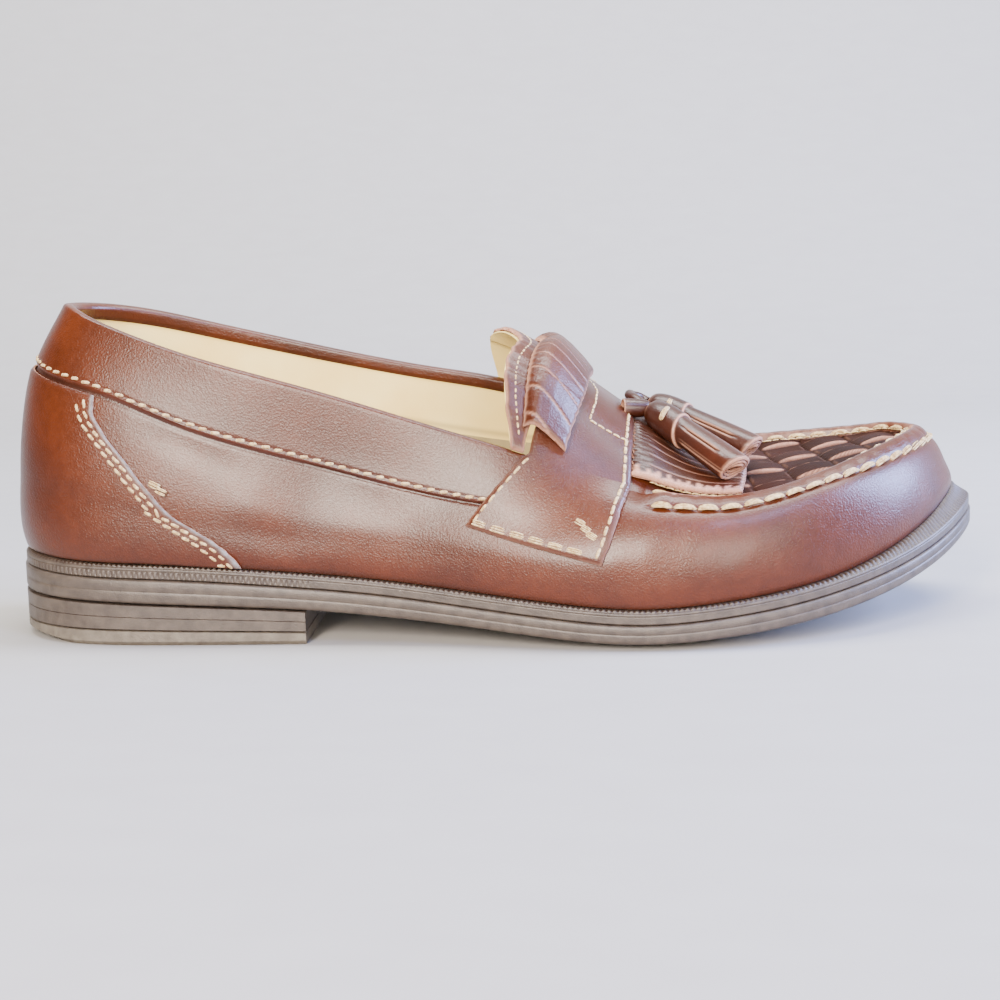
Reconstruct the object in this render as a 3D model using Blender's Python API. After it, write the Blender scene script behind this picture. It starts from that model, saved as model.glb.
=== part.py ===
"""Woven tassel loafer, right shoe, built up in pieces.

Metres, +Z up, toe towards +X, outer (lateral) side towards -Y, inner (medial) side towards +Y.
The origin lies on the floor under the middle of the sole.
"""
import math

import bpy
import numpy as np

# driving sizes
SOLE_LENGTH = 0.2685
BALL_WIDTH = 0.096
BACK_HEIGHT = 0.0912       # floor to the collar's top at the back
INSTEP_HEIGHT = 0.0775     # floor to the top of the vamp under the tongue
HEEL_RISE = 0.0220         # floor to the sole's top edge over the heel

# thicknesses
WALL = 0.0020              # leather and lining together
OVERLAY = 0.0012           # saddle
COUNTER = 0.0009           # counter, skived thin
BAND_STEP = 0.0007         # the collar band stands this much proud of the quarter
RIDGE = 0.0026             # hand-sewn ridge round the plug
TONGUE_THICK = 0.0019
STRAP_THICK = 0.0018
STRAP_ARCH = 0.0030        # the strap's middle stands off the tongue by this
FLAP_THICK = 0.0013
INSOLE_THICK = 0.0024
INSOLE_DISH = 0.0008       # hollow worn by the foot
WELT_HEIGHT = 0.0033
TASSEL_LENGTH = 0.034
TASSEL_RADIUS = 0.0043
LACE_RADIUS = 0.0014

# clearances and small sizes
GAP = 0.0003               # between pieces that touch
OVERLAY_GAP = 0.0005       # between curved layers
SOLE_BEVEL = 0.0010
CROWN = 0.0022             # the tread is lower in the middle than along its edge
GROOVE = 0.0005            # depth of the grooves in the heel's side
WELT_WIDTH = 0.0085
BEAD_WIDTH = 0.0014        # flat strip of the welt next to the upper
LEDGE_RISE = 0.0006        # the welt's top rises this much towards the upper
TOE_LEDGE_RISE = 0.0030    # the same, at the toe
WEAVE_PITCH = 0.0095       # one strip and its gap
WEAVE_RELIEF = 0.0009
WEAVE_START = 0.730        # under the flap's front edge, share of the sole's length

HEEL_BREAST = 0.311        # share of the sole's length
TOP_LIFT_SHARE = 0.36      # lowest layer, share of the heel block's height
LAYER_LINE_SHARE = 0.70    # line between the other two layers
THROAT = 0.548             # where the opening ends, share of the sole's length
PLUG_END = 0.905           # end of the plug's centre line
COLUMNS = 36               # sections of the upper from heel to toe on each side
SOLE_COLUMNS = 34          # the same, for the sole and the insole

# Sole's outline. along: share of SOLE_LENGTH; lateral and medial: share of BALL_WIDTH.
OUTLINE = (
    # along, lateral, medial
    (0.000, 0.000, 0.000),
    (0.006, -0.106, 0.106),
    (0.026, -0.208, 0.208),
    (0.064, -0.288, 0.288),
    (0.115, -0.328, 0.326),
    (0.190, -0.346, 0.340),
    (0.270, -0.354, 0.334),
    (0.355, -0.362, 0.314),
    (0.455, -0.406, 0.322),
    (0.555, -0.470, 0.380),
    (0.645, -0.506, 0.448),
    (0.725, -0.494, 0.486),
    (0.830, -0.408, 0.488),
    (0.900, -0.297, 0.455),
    (0.952, -0.160, 0.385),
    (0.983, -0.030, 0.280),
    (1.000, 0.125, 0.125),
)

# Sole's side. along: share of SOLE_LENGTH; tread and top: share of HEEL_RISE.
SIDE = (
    # along, tread edge, top edge
    (0.000, 0.570, 1.050),
    (0.063, 0.545, 1.000),
    (0.190, 0.480, 0.935),
    (0.311, 0.405, 0.825),
    (0.400, 0.310, 0.720),
    (0.480, 0.215, 0.605),
    (0.560, 0.110, 0.500),
    (0.645, 0.060, 0.440),
    (0.711, 0.105, 0.490),
    (0.810, 0.255, 0.650),
    (0.880, 0.445, 0.845),
    (0.960, 0.790, 1.180),
    (1.000, 1.030, 1.410),
)

# The upper's wall, section by section round the shoe. along: share of SOLE_LENGTH.
# A column with _in is a distance in from the sole's edge, in hundredths of BALL_WIDTH;
# a column with _up is a height over the floor, in hundredths of BACK_HEIGHT.
LATERAL_WALL = (
    # along, feather_in, belly_in, belly_up, seam_in, seam_up, rim_in, rim_up
    (0.000, 2.6, 1.8, 50.0, 7.2, 82.6, 16.6, 100.0),
    (0.045, 2.5, 1.8, 48.0, 7.0, 79.0, 15.4, 98.6),
    (0.105, 2.2, 1.6, 44.0, 6.2, 74.6, 12.6, 94.0),
    (0.190, 1.9, 1.2, 38.0, 4.8, 64.6, 8.4, 85.6),
    (0.310, 2.1, 1.5, 33.0, 4.6, 53.6, 6.4, 75.2),
    (0.430, 2.1, 1.5, 29.5, 4.9, 44.0, 8.2, 63.6),
    (0.520, 2.1, 0.9, 25.0, 6.2, 40.0, 12.0, 54.8),
    (0.645, 2.1, 0.6, 22.0, 8.6, 39.6, 15.2, 42.4),
    (0.725, 2.2, 0.5, 23.0, 7.0, 38.4, 14.6, 38.8),
    (0.830, 2.7, 1.6, 29.0, 7.4, 43.6, 13.2, 43.0),
    (0.900, 3.4, 3.0, 35.0, 8.8, 47.6, 14.8, 48.4),
    (0.960, 4.6, 5.4, 41.0, 10.4, 50.4, 16.4, 51.8),
    (1.000, 5.6, 7.6, 44.0, 12.0, 51.6, 18.4, 52.6),
)
MEDIAL_WALL = (
    # along, feather_in, belly_in, belly_up, seam_in, seam_up, rim_in, rim_up
    (0.045, 2.5, 1.8, 48.0, 6.8, 79.6, 15.2, 99.4),
    (0.105, 2.2, 1.2, 45.0, 5.6, 76.0, 11.6, 97.6),
    (0.190, 1.9, 0.2, 41.0, 3.0, 70.0, 5.4, 91.6),
    (0.310, 2.1, -1.2, 38.0, 0.6, 63.4, 2.2, 83.0),
    (0.430, 2.1, -1.4, 37.0, 1.2, 57.0, 2.8, 75.6),
    (0.520, 2.1, -0.4, 34.0, 4.0, 52.6, 8.4, 69.8),
    (0.645, 2.1, 0.6, 28.0, 7.8, 49.2, 15.0, 52.6),
    (0.725, 2.2, 0.8, 28.0, 9.6, 47.6, 17.4, 48.0),
    (0.830, 2.8, 2.2, 31.0, 11.8, 49.0, 18.6, 49.0),
    (0.900, 3.6, 4.4, 36.0, 12.8, 50.4, 19.4, 50.6),
    (0.960, 4.8, 6.4, 41.0, 12.6, 51.4, 19.0, 52.2),
)

# The vamp's centre line. up: share of INSTEP_HEIGHT over the floor; side: share of BALL_WIDTH;
# fullness 1 is a straight roof, more is rounder.
CREST = (
    # along, side, up, fullness
    (0.440, 0.000, 1.130, 2.8),
    (0.522, 0.015, 1.000, 3.0),
    (0.590, 0.035, 0.845, 3.0),
    (0.640, 0.060, 0.715, 3.0),
    (0.675, 0.080, 0.625, 2.7),
    (0.705, 0.095, 0.570, 2.4),
    (0.745, 0.100, 0.538, 2.2),
    (0.800, 0.105, 0.540, 2.0),
    (0.860, 0.112, 0.575, 2.0),
    (0.905, 0.118, 0.604, 2.0),
)

# Edges of the layers that cross the shoe, from the lateral side over the vamp to the medial side.
# side: -1 lateral, 1 medial; a level counts 1 belly, 2 seam, 3 rim, 4 centre line; along is as above.
SADDLE_EDGES = (
    # side, back level, back along, front level, front along
    (-1, 1.50, 0.474, 1.10, 0.604),
    (-1, 2.00, 0.492, 1.90, 0.624),
    (-1, 2.50, 0.514, 2.50, 0.630),
    (-1, 3.00, 0.536, 3.00, 0.634),
    (-1, 3.30, 0.556, 3.30, 0.637),
    (1, 4.00, 0.578, 4.00, 0.642),
    (1, 3.30, 0.556, 3.30, 0.637),
    (1, 3.00, 0.536, 3.00, 0.634),
    (1, 2.50, 0.514, 2.50, 0.630),
    (1, 2.00, 0.492, 1.90, 0.624),
    (1, 1.50, 0.474, 1.10, 0.604),
)
TONGUE_EDGES = (
    # side, back level, back along, front level, front along
    (-1, 2.96, 0.520, 2.96, 0.529),
    (-1, 3.16, 0.513, 3.16, 0.541),
    (-1, 3.40, 0.514, 3.40, 0.557),
    (-1, 3.70, 0.524, 3.70, 0.567),
    (1, 4.00, 0.520, 4.00, 0.574),
    (1, 3.62, 0.506, 3.62, 0.564),
    (1, 3.30, 0.492, 3.30, 0.550),
    (1, 2.96, 0.500, 2.96, 0.530),
)
STRAP_EDGES = (
    # side, back level, back along, front level, front along
    (-1, 3.01, 0.530, 2.98, 0.574),
    (-1, 3.30, 0.532, 3.30, 0.583),
    (-1, 3.65, 0.539, 3.65, 0.590),
    (1, 4.00, 0.544, 4.00, 0.594),
    (1, 3.65, 0.539, 3.65, 0.590),
    (1, 3.30, 0.532, 3.30, 0.583),
    (1, 3.01, 0.530, 2.98, 0.574),
)
FLAP_EDGES = (
    # side, back level, back along, front level, front along
    (-1, 3.07, 0.640, 3.07, 0.744),
    (-1, 3.35, 0.643, 3.35, 0.752),
    (-1, 3.70, 0.646, 3.70, 0.757),
    (1, 4.00, 0.648, 4.00, 0.760),
    (1, 3.70, 0.646, 3.70, 0.757),
    (1, 3.35, 0.643, 3.35, 0.752),
    (1, 3.07, 0.640, 3.07, 0.744),
)
FLAP_STRIPS = 15
# The counter's front edge, from the sole up to the band.
COUNTER_EDGE = (
    # level, edge along
    (0.10, 0.248),
    (0.60, 0.222),
    (1.00, 0.180),
    (1.50, 0.128),
    (1.80, 0.104),
    (1.93, 0.106),
)


def smooth(low, high, value):
    """0 below low, 1 above high, with a soft step between."""
    share = np.clip((np.asarray(value, float) - low) / (high - low), 0.0, 1.0)
    return share * share * (3.0 - 2.0 * share)


def open_curve(knots, values):
    """A smooth curve through the values, straight beyond its ends."""
    knots = np.asarray(knots, float)
    values = np.asarray(values, float)
    count = len(knots)
    gaps = np.diff(knots)
    system = np.zeros((count, count))
    right = np.zeros((count,) + values.shape[1:])
    system[0, 0] = system[-1, -1] = 1.0
    slopes = np.diff(values, axis=0) / gaps.reshape((-1,) + (1,) * (values.ndim - 1))
    for row in range(1, count - 1):
        system[row, row - 1:row + 2] = gaps[row - 1], 2.0 * (gaps[row - 1] + gaps[row]), gaps[row]
        right[row] = 6.0 * (slopes[row] - slopes[row - 1])
    return knots, values, np.linalg.solve(system, right)


def closed_curve(knots, values, period):
    """A smooth closed curve: knots rise from 0 and stay below the period."""
    turns = [np.asarray(knots, float) + shift * period for shift in (-1, 0, 1)]
    stacked = np.concatenate(turns)
    return open_curve(stacked, np.concatenate([np.asarray(values, float)] * 3))


def read_curve(curve, where):
    """The curve's values at each place asked for."""
    knots, values, bends = curve
    where = np.asarray(where, float)
    inside = np.clip(where, knots[0], knots[-1])
    cell = np.clip(np.searchsorted(knots, inside, side="right") - 1, 0, len(knots) - 2)
    width = knots[cell + 1] - knots[cell]
    left = (knots[cell + 1] - inside) / width
    right = 1.0 - left
    shape = where.shape + (1,) * (values.ndim - 1)
    left, right, width = left.reshape(shape), right.reshape(shape), width.reshape(shape)
    result = left * values[cell] + right * values[cell + 1]
    return result + ((left ** 3 - left) * bends[cell] + (right ** 3 - right) * bends[cell + 1]) * width ** 2 / 6.0


def column(table, index):
    return [row[index] for row in table]


def plan_point(along, side):
    """A point of the plan from shares of the sole's length and of the ball's width."""
    return ((along - 0.5) * SOLE_LENGTH, side * BALL_WIDTH)


def outline_curve():
    """The sole's edge, parameter 0 at the heel's back, 1 at the toe's tip, up to 2 round the inner side."""
    lateral = np.array([plan_point(row[0], row[1]) for row in OUTLINE])
    medial = np.array([plan_point(row[0], row[2]) for row in OUTLINE])
    steps = [np.linalg.norm(np.diff(side, axis=0), axis=1) for side in (lateral, medial)]
    reach = np.concatenate([[0.0], np.cumsum(0.5 * (steps[0] + steps[1]))])
    reach /= reach[-1]
    knots = np.concatenate([reach, 2.0 - reach[-2:0:-1]])
    points = np.concatenate([lateral, medial[-2:0:-1]])
    return closed_curve(knots, points, 2.0)


EDGE = outline_curve()


def edge_frame(turn):
    """Plan points of the sole's edge and the plan directions that point out of it."""
    turn = np.asarray(turn, float) % 2.0
    step = 1e-4
    point = read_curve(EDGE, turn)
    along = read_curve(EDGE, turn + step) - read_curve(EDGE, turn - step)
    out = np.stack([along[..., 1], -along[..., 0]], axis=-1)
    return point, out / np.linalg.norm(out, axis=-1, keepdims=True)


def along_of(turn):
    """Share of the sole's length at a place on its edge."""
    return read_curve(EDGE, np.asarray(turn, float) % 2.0)[..., 0] / SOLE_LENGTH + 0.5


HALF_TURNS = np.linspace(0.0, 1.0, 801)
LATERAL_ALONG = np.maximum.accumulate(along_of(HALF_TURNS))
MEDIAL_ALONG = np.maximum.accumulate(along_of(2.0 - HALF_TURNS))


def turn_at(along, side):
    """The place on the sole's edge that has this share of the length, on the side asked for."""
    if side < 0:
        return np.interp(along, LATERAL_ALONG, HALF_TURNS)
    return 2.0 - np.interp(along, MEDIAL_ALONG, HALF_TURNS)


def wall_curve():
    rows = [(float(turn_at(row[0], -1)), row[1:]) for row in LATERAL_WALL]
    rows[0] = (0.0, rows[0][1])
    rows[-1] = (1.0, rows[-1][1])
    rows += [(float(turn_at(row[0], 1)), row[1:]) for row in reversed(MEDIAL_WALL)]
    return closed_curve([row[0] for row in rows], [row[1] for row in rows], 2.0)


WALL_ROWS = wall_curve()
TREAD = open_curve(column(SIDE, 0), [(row[1] * HEEL_RISE, row[2] * HEEL_RISE) for row in SIDE])
CENTRE = open_curve(
    column(CREST, 0),
    [(row[1] * BALL_WIDTH, row[2] * INSTEP_HEIGHT, row[3]) for row in CREST])


def tread_edge(along):
    return read_curve(TREAD, along)[..., 0]


def top_edge(along):
    return read_curve(TREAD, along)[..., 1]


def ledge_rise(along):
    return LEDGE_RISE + (TOE_LEDGE_RISE - LEDGE_RISE) * smooth(0.82, 1.0, along)


def wall_anchors(turn):
    """Distances in from the edge and heights of the wall's four lines: feather, belly, seam, rim."""
    rows = read_curve(WALL_ROWS, np.asarray(turn, float) % 2.0)
    inward = rows[..., [0, 1, 3, 5]] * BALL_WIDTH / 100.0
    along = along_of(turn)
    foot = top_edge(along) + ledge_rise(along) + GAP
    heights = rows[..., [2, 4, 6]] * BACK_HEIGHT / 100.0
    return inward, np.concatenate([foot[..., None], heights], axis=-1)


def wall_point(turn, level):
    """A point of the wall, level 0 at the sole to 3 at the rim, on a smooth curve through its four lines."""
    turn, level = np.broadcast_arrays(np.asarray(turn, float), np.asarray(level, float))
    inward, height = wall_anchors(turn)
    line = np.stack([inward, height], axis=-1)
    tuck = line[..., :1, :] + np.array([0.016, -0.030]) * BALL_WIDTH
    beyond = 2.0 * line[..., 3:, :] - line[..., 2:3, :]
    line = np.concatenate([tuck, line, beyond], axis=-2)
    reach = np.linalg.norm(np.diff(line, axis=-2), axis=-1)[..., None]
    slope = np.diff(line, axis=-2) / reach
    speed = (slope[..., :-1, :] * reach[..., 1:, :] + slope[..., 1:, :] * reach[..., :-1, :])
    speed /= reach[..., 1:, :] + reach[..., :-1, :]
    cell = np.clip(level.astype(int), 0, 2)
    share = (np.clip(level, 0.0, 3.0) - cell)[..., None]
    pick = cell[..., None, None]

    def take(values, shift):
        return np.take_along_axis(values, pick + shift, axis=-2)[..., 0, :]

    start, end = take(line, 1), take(line, 2)
    span = take(reach, 1)
    leave, arrive = take(speed, 0), take(speed, 1)
    cube, square = share ** 3, share ** 2
    place = (2 * cube - 3 * square + 1) * start + (3 * square - 2 * cube) * end
    place = place + ((cube - 2 * square + share) * leave + (cube - square) * arrive) * span
    edge, out = edge_frame(turn)
    flat = edge - out * place[..., :1]
    return np.concatenate([flat, place[..., 1:]], axis=-1)


def crest_point(turn):
    """The point of the vamp's centre line that a section reaches, with its fullness."""
    turn = np.asarray(turn, float) % 2.0
    half = np.where(turn > 1.0, 2.0 - turn, turn)
    middle = 0.5 * (wall_point(half, 3.0)[..., 0] + wall_point(2.0 - half, 3.0)[..., 0])
    along = np.minimum(middle / SOLE_LENGTH + 0.5, PLUG_END)
    side = read_curve(CENTRE, along)
    return np.stack([(along - 0.5) * SOLE_LENGTH, side[..., 0], side[..., 1]], axis=-1), side[..., 2]


def upper_point(turn, level):
    """A point of the upper's form: level 0 to 3 up the wall, 3 to 4 over the vamp to its centre line."""
    turn, level = np.broadcast_arrays(np.asarray(turn, float), np.asarray(level, float))
    wall = wall_point(turn, np.minimum(level, 3.0))
    crest, fullness = crest_point(turn)
    share = np.clip(level - 3.0, 0.0, 1.0)
    top = wall + (crest - wall) * share[..., None]
    rise = 1.0 - (1.0 - share) ** fullness
    top[..., 2] = wall[..., 2] + (crest[..., 2] - wall[..., 2]) * rise
    return np.where((level > 3.0)[..., None], top, wall)


def face_normals(points, faces):
    """A direction out of each point, from the faces round it."""
    total = np.zeros_like(points)
    for face in faces:
        corners = points[list(face)]
        normal = np.zeros(3)
        for first, second in zip(corners, np.roll(corners, -1, axis=0)):
            normal += np.cross(first, second)
        for index in face:
            total[index] += normal
    return total / np.linalg.norm(total, axis=1, keepdims=True)


def closed_volume(points, faces):
    total = 0.0
    for face in faces:
        for second, third in zip(face[1:-1], face[2:]):
            total += np.dot(points[face[0]], np.cross(points[second], points[third]))
    return total / 6.0


COLLECTION = None


def material(name, colour, roughness, metallic=0.0):
    """A plain finish: the colour is linear."""
    made = bpy.data.materials.new(name)
    made.use_nodes = True
    shader = made.node_tree.nodes["Principled BSDF"]
    shader.inputs["Base Color"].default_value = (*colour, 1.0)
    shader.inputs["Roughness"].default_value = roughness
    shader.inputs["Metallic"].default_value = metallic
    return made


def solid(name, points, faces, finish):
    """One closed body from its points and faces, turned so that its faces point out."""
    points = np.asarray(points, float)
    if closed_volume(points, faces) < 0:
        faces = [tuple(reversed(face)) for face in faces]
    mesh = bpy.data.meshes.new(name)
    mesh.from_pydata([tuple(point) for point in points], [], faces)
    mesh.validate()
    mesh.shade_smooth()
    mesh.set_sharp_from_angle(angle=math.radians(40))
    mesh.materials.append(finish)
    body = bpy.data.objects.new(name, mesh)
    COLLECTION.objects.link(body)
    return body


def shell(name, outer, inner, faces, finish):
    """A solid between two skins with the same faces, closed along their open edges."""
    count = len(outer)
    edges = {}
    for face in faces:
        for first, second in zip(face, face[1:] + face[:1]):
            edges[(first, second)] = True
    rim = [(a, b) for (a, b) in edges if (b, a) not in edges]
    whole = list(faces)
    whole += [tuple(index + count for index in reversed(face)) for face in faces]
    whole += [(b, a, a + count, b + count) for a, b in rim]
    return solid(name, np.concatenate([outer, inner]), whole, finish)


def grid_faces(rows, columns):
    faces = []
    for row in range(rows - 1):
        for place in range(columns - 1):
            corner = row * columns + place
            faces.append((corner, corner + columns, corner + columns + 1, corner + 1))
    return faces


def section_turns():
    """The sections' places from heel to toe: closer where the edge turns and under the plug."""
    weight_at = np.array([0.0, 0.04, 0.13, 0.30, 0.50, 0.62, 0.70, 0.90, 0.96, 1.0])
    weight = np.array([1.8, 1.7, 1.1, 0.8, 0.9, 1.4, 1.7, 1.9, 1.8, 1.8])
    fine = np.linspace(0.0, 1.0, 2001)
    density = np.interp(fine, weight_at, weight)
    reach = np.concatenate([[0.0], np.cumsum(0.5 * (density[1:] + density[:-1]))])
    turns = np.interp(np.linspace(0.0, reach[-1], COLUMNS + 1), reach, fine)
    throat = float(np.interp(THROAT, LATERAL_ALONG, HALF_TURNS))
    nearest = int(np.argmin(np.abs(turns - throat)))
    turns[nearest] = throat
    return turns, nearest


WALL_LEVELS = (0.0, 0.45, 1.0, 1.35, 1.70, 1.95, 2.05, 2.34, 2.58, 2.84, 3.0)
PLUG_LEVELS = (3.12, 3.28, 3.46, 3.64, 3.82, 4.0)
RIDGE_PROFILE = ((2.00, 0.0), (2.34, 0.62), (2.58, 1.0), (2.84, 0.72), (2.98, 0.0), (3.0, 0.0))


def ridge_lift(along, level):
    """How far the sewn ridge stands over the form."""
    share = np.interp(level, column(RIDGE_PROFILE, 0), column(RIDGE_PROFILE, 1), left=0.0, right=0.0)
    return RIDGE * share * smooth(0.640, 0.668, along)


def band_lift(along, level):
    """The collar band is a second layer above the long seam."""
    return BAND_STEP * smooth(1.95, 2.05, level) * (1.0 - smooth(0.50, 0.56, along)) * (level <= 3.0)


def weave_lift(points):
    """Strips that pass over and under each other: high where a strip is on top, low in the slits."""
    across = points[:, 1] / WEAVE_PITCH
    along = points[:, 0] / WEAVE_PITCH
    even = (np.floor(across) + np.floor(along)) % 2.0
    lengthwise = np.abs(np.sin(math.pi * across)) * (0.4 + 0.6 * np.abs(np.sin(math.pi * along)))
    crosswise = np.abs(np.sin(math.pi * along)) * (0.4 + 0.6 * np.abs(np.sin(math.pi * across)))
    return WEAVE_RELIEF * np.where(even > 0.5, lengthwise, crosswise)


def upper_mesh(turns, throat, plug_levels):
    """The upper's form as one sheet: wall sections all round, and vamp sections in front of the throat."""
    half = len(turns) - 1
    ring = np.concatenate([turns, 2.0 - turns[-2:0:-1]])
    places, levels = [], []
    index = {}
    for row, level in enumerate(WALL_LEVELS):
        for place, turn in enumerate(ring):
            index["wall", row, place] = len(places)
            places.append(turn)
            levels.append(level)
    last = len(WALL_LEVELS) - 1
    faces = []
    count = len(ring)
    for row in range(last):
        for place in range(count):
            after = (place + 1) % count
            faces.append((index["wall", row, place], index["wall", row, after],
                          index["wall", row + 1, after], index["wall", row + 1, place]))
    pole = None
    for step in range(throat, half + 1):
        crest, _ = crest_point(np.array(turns[step]))
        at_pole = crest[0] >= (PLUG_END - 0.5) * SOLE_LENGTH - 1e-6
        for side in (-1, 1):
            place = step if side < 0 else (count - step) % count
            index["top", side, 0, step] = index["wall", last, place]
            for row, level in enumerate(plug_levels[:-1], start=1):
                key = ("top", side, row, step)
                if step == half and side > 0:
                    index[key] = index["top", -1, row, step]
                    continue
                index[key] = len(places)
                places.append(ring[place])
                levels.append(level)
        row = len(plug_levels)
        if at_pole and pole is not None:
            centre = pole
        else:
            centre = len(places)
            places.append(turns[step])
            levels.append(4.0)
        if at_pole:
            pole = centre
        index["top", -1, row, step] = index["top", 1, row, step] = centre
    for step in range(throat, half):
        for side in (-1, 1):
            for row in range(len(plug_levels)):
                face = [index["top", side, row, step], index["top", side, row, step + 1],
                        index["top", side, row + 1, step + 1], index["top", side, row + 1, step]]
                face = [corner for spot, corner in enumerate(face) if corner not in face[:spot]]
                faces.append(tuple(face) if side < 0 else tuple(reversed(face)))
    return np.array(places), np.array(levels), faces


def build_upper(finish):
    turns, throat = section_turns()
    places, levels, faces = upper_mesh(turns, throat, PLUG_LEVELS)
    form = upper_point(places, levels)
    out = face_normals(form, faces)
    along = form[:, 0] / SOLE_LENGTH + 0.5
    lift = ridge_lift(along, levels) + band_lift(along, levels)
    woven = smooth(3.04, 3.10, levels) * smooth(WEAVE_START, WEAVE_START + 0.02, along)
    lift = lift + weave_lift(form) * woven
    return shell("upper", form + out * lift[:, None], form - out * WALL, faces, finish)


def girth_of(side, level):
    """Levels counted on from the lateral side over the centre line, 4, and down the medial side."""
    return level if side < 0 else 8.0 - level


def girth_lines(edges, spacing):
    """The lines of a layer across the shoe: those of the upper under it, or evenly spaced ones."""
    first, last = girth_of(*edges[0][:2]), girth_of(*edges[-1][:2])
    if spacing:
        return np.linspace(first, last, spacing)
    lines = sorted(set(WALL_LEVELS[1:] + PLUG_LEVELS))
    lines = np.array(lines + [8.0 - level for level in reversed(lines[:-1])])
    inside = lines[(lines > first + 0.02) & (lines < last - 0.02)]
    return np.concatenate([[first], inside, [last]])


def overlay_grid(edges, across, steps):
    """A sheet on the upper's form between a back edge and a front edge that run from side to side."""
    knots = [girth_of(row[0], row[1]) for row in edges]
    backs = read_curve(open_curve(knots, column(edges, 2)), across)
    fronts = read_curve(open_curve(knots, column(edges, 4)), across)
    front_girth = np.interp(across, knots, [girth_of(row[0], row[3]) for row in edges])
    steps = np.asarray(steps)[None, :]
    along = backs[:, None] + (fronts - backs)[:, None] * steps
    girth = across[:, None] + (front_girth - across)[:, None] * steps
    sides = np.where(girth <= 4.0, -1, 1).ravel()
    levels = np.where(girth <= 4.0, girth, 8.0 - girth).ravel()
    return section_turn(along.ravel(), sides, levels), levels, grid_faces(len(across), steps.size)


def section_turn(along, side, level):
    """The section whose point at this level has the share of the length asked for, side -1 or 1."""
    along, side, level = np.broadcast_arrays(np.asarray(along, float), side, level)
    low, high = np.zeros(along.shape), np.ones(along.shape)
    for _ in range(26):
        middle = 0.5 * (low + high)
        turn = np.where(side < 0, middle, 2.0 - middle)
        short = upper_point(turn, level)[..., 0] / SOLE_LENGTH + 0.5 < along
        low, high = np.where(short, middle, low), np.where(short, high, middle)
    middle = 0.5 * (low + high)
    return np.where(side < 0, middle, 2.0 - middle)


def turned_out(form, faces):
    """Directions away from the shoe's inside."""
    out = face_normals(form, faces)
    centre = np.array([form[:, 0].mean(), 0.0, 0.3 * BACK_HEIGHT])
    if np.sum((form - centre) * out) < 0:
        return -out
    return out


def build_overlay(name, edges, columns, low, thick, finish, spacing=0, arch=0.0, ribs=0):
    """A layer on the upper: low over its skin, thick through, arched between its edges if asked."""
    across = girth_lines(edges, spacing)
    rows = len(across)
    steps = np.linspace(0.0, 1.0, columns)
    places, levels, faces = overlay_grid(edges, across, steps)
    form = upper_point(places, levels)
    out = turned_out(form, faces)
    share = np.tile(steps, rows)
    along = form[:, 0] / SOLE_LENGTH + 0.5
    stand = low + ridge_lift(along, levels) + band_lift(along, levels) + arch * np.sin(math.pi * share)
    stand = stand + WEAVE_RELIEF * smooth(WEAVE_START - 0.03, WEAVE_START, along)
    relief = np.zeros(len(form))
    if ribs:
        spread = np.repeat(np.linspace(0.0, 1.0, rows), columns)
        relief = -0.45 * thick * (np.abs(np.sin(math.pi * ribs * spread)) < 0.3) * smooth(0.12, 0.3, share)
    outer = form + out * (stand + thick + relief)[:, None]
    return shell(name, outer, form + out * stand[:, None], faces, finish)


def build_counter(finish):
    """The counter wraps the heel's back from one slanting edge to the other, under the band."""
    levels_up = np.array([0.10, 0.45, 0.80, 1.15, 1.50, 1.75, 1.93])
    edge = read_curve(open_curve(column(COUNTER_EDGE, 0), column(COUNTER_EDGE, 1)), levels_up)
    spread = np.linspace(-1.0, 1.0, 27)
    lateral = section_turn(edge, -1, levels_up)[:, None]
    medial = 2.0 - section_turn(edge, 1, levels_up)[:, None]
    places = np.where(spread < 0, -spread * lateral, -spread * medial) % 2.0
    levels = np.broadcast_to(levels_up[:, None], places.shape)
    faces = grid_faces(len(levels_up), len(spread))
    form = upper_point(places.ravel(), levels.ravel())
    out = turned_out(form, faces)
    return shell("heel_counter", form + out * (OVERLAY_GAP + COUNTER), form + out * OVERLAY_GAP, faces, finish)


def paired_turns(count):
    """Places round the whole edge, the two sides level with each other."""
    turns = 0.5 - 0.5 * np.cos(np.linspace(0.0, math.pi, count + 1))
    turns = 0.55 * turns + 0.45 * np.linspace(0.0, 1.0, count + 1)
    return np.concatenate([turns, 2.0 - turns[-2:0:-1]])


def ring_points(ring, inward, heights):
    edge, out = edge_frame(ring)
    flat = edge - out * np.broadcast_to(inward, ring.shape)[:, None]
    return np.concatenate([flat, np.broadcast_to(heights, ring.shape)[:, None]], axis=1)


def stacked_rings(rings, bottom, top, across=2):
    """Rings one over the other, closed by a bottom and a top whose heights are functions of the plan."""
    count = len(rings[0])
    half = count // 2
    points = list(np.concatenate(rings))
    faces = []
    for level in range(len(rings) - 1):
        for place in range(count):
            after = (place + 1) % count
            base = level * count
            faces.append((base + place, base + after, base + count + after, base + count + place))
    for base, height, flip in ((0, bottom, False), ((len(rings) - 1) * count, top, True)):
        rows = []
        for step in range(half + 1):
            first, second = base + step, base + (count - step) % count
            row = [first]
            if first != second:
                for share in np.linspace(0.0, 1.0, across + 2)[1:-1]:
                    point = points[first] * (1.0 - share) + points[second] * share
                    point[2] = height(point, share)
                    row.append(len(points))
                    points.append(point)
            row.append(second)
            rows.append(row)
        for before, after in zip(rows, rows[1:]):
            width = max(len(before), len(after))
            before = before if len(before) == width else [before[0]] * width
            after = after if len(after) == width else [after[0]] * width
            for place in range(width - 1):
                face = [before[place], before[place + 1], after[place + 1], after[place]]
                face = [corner for spot, corner in enumerate(face) if corner not in face[:spot]]
                faces.append(tuple(reversed(face)) if flip else tuple(face))
    return np.array(points), faces


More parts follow.
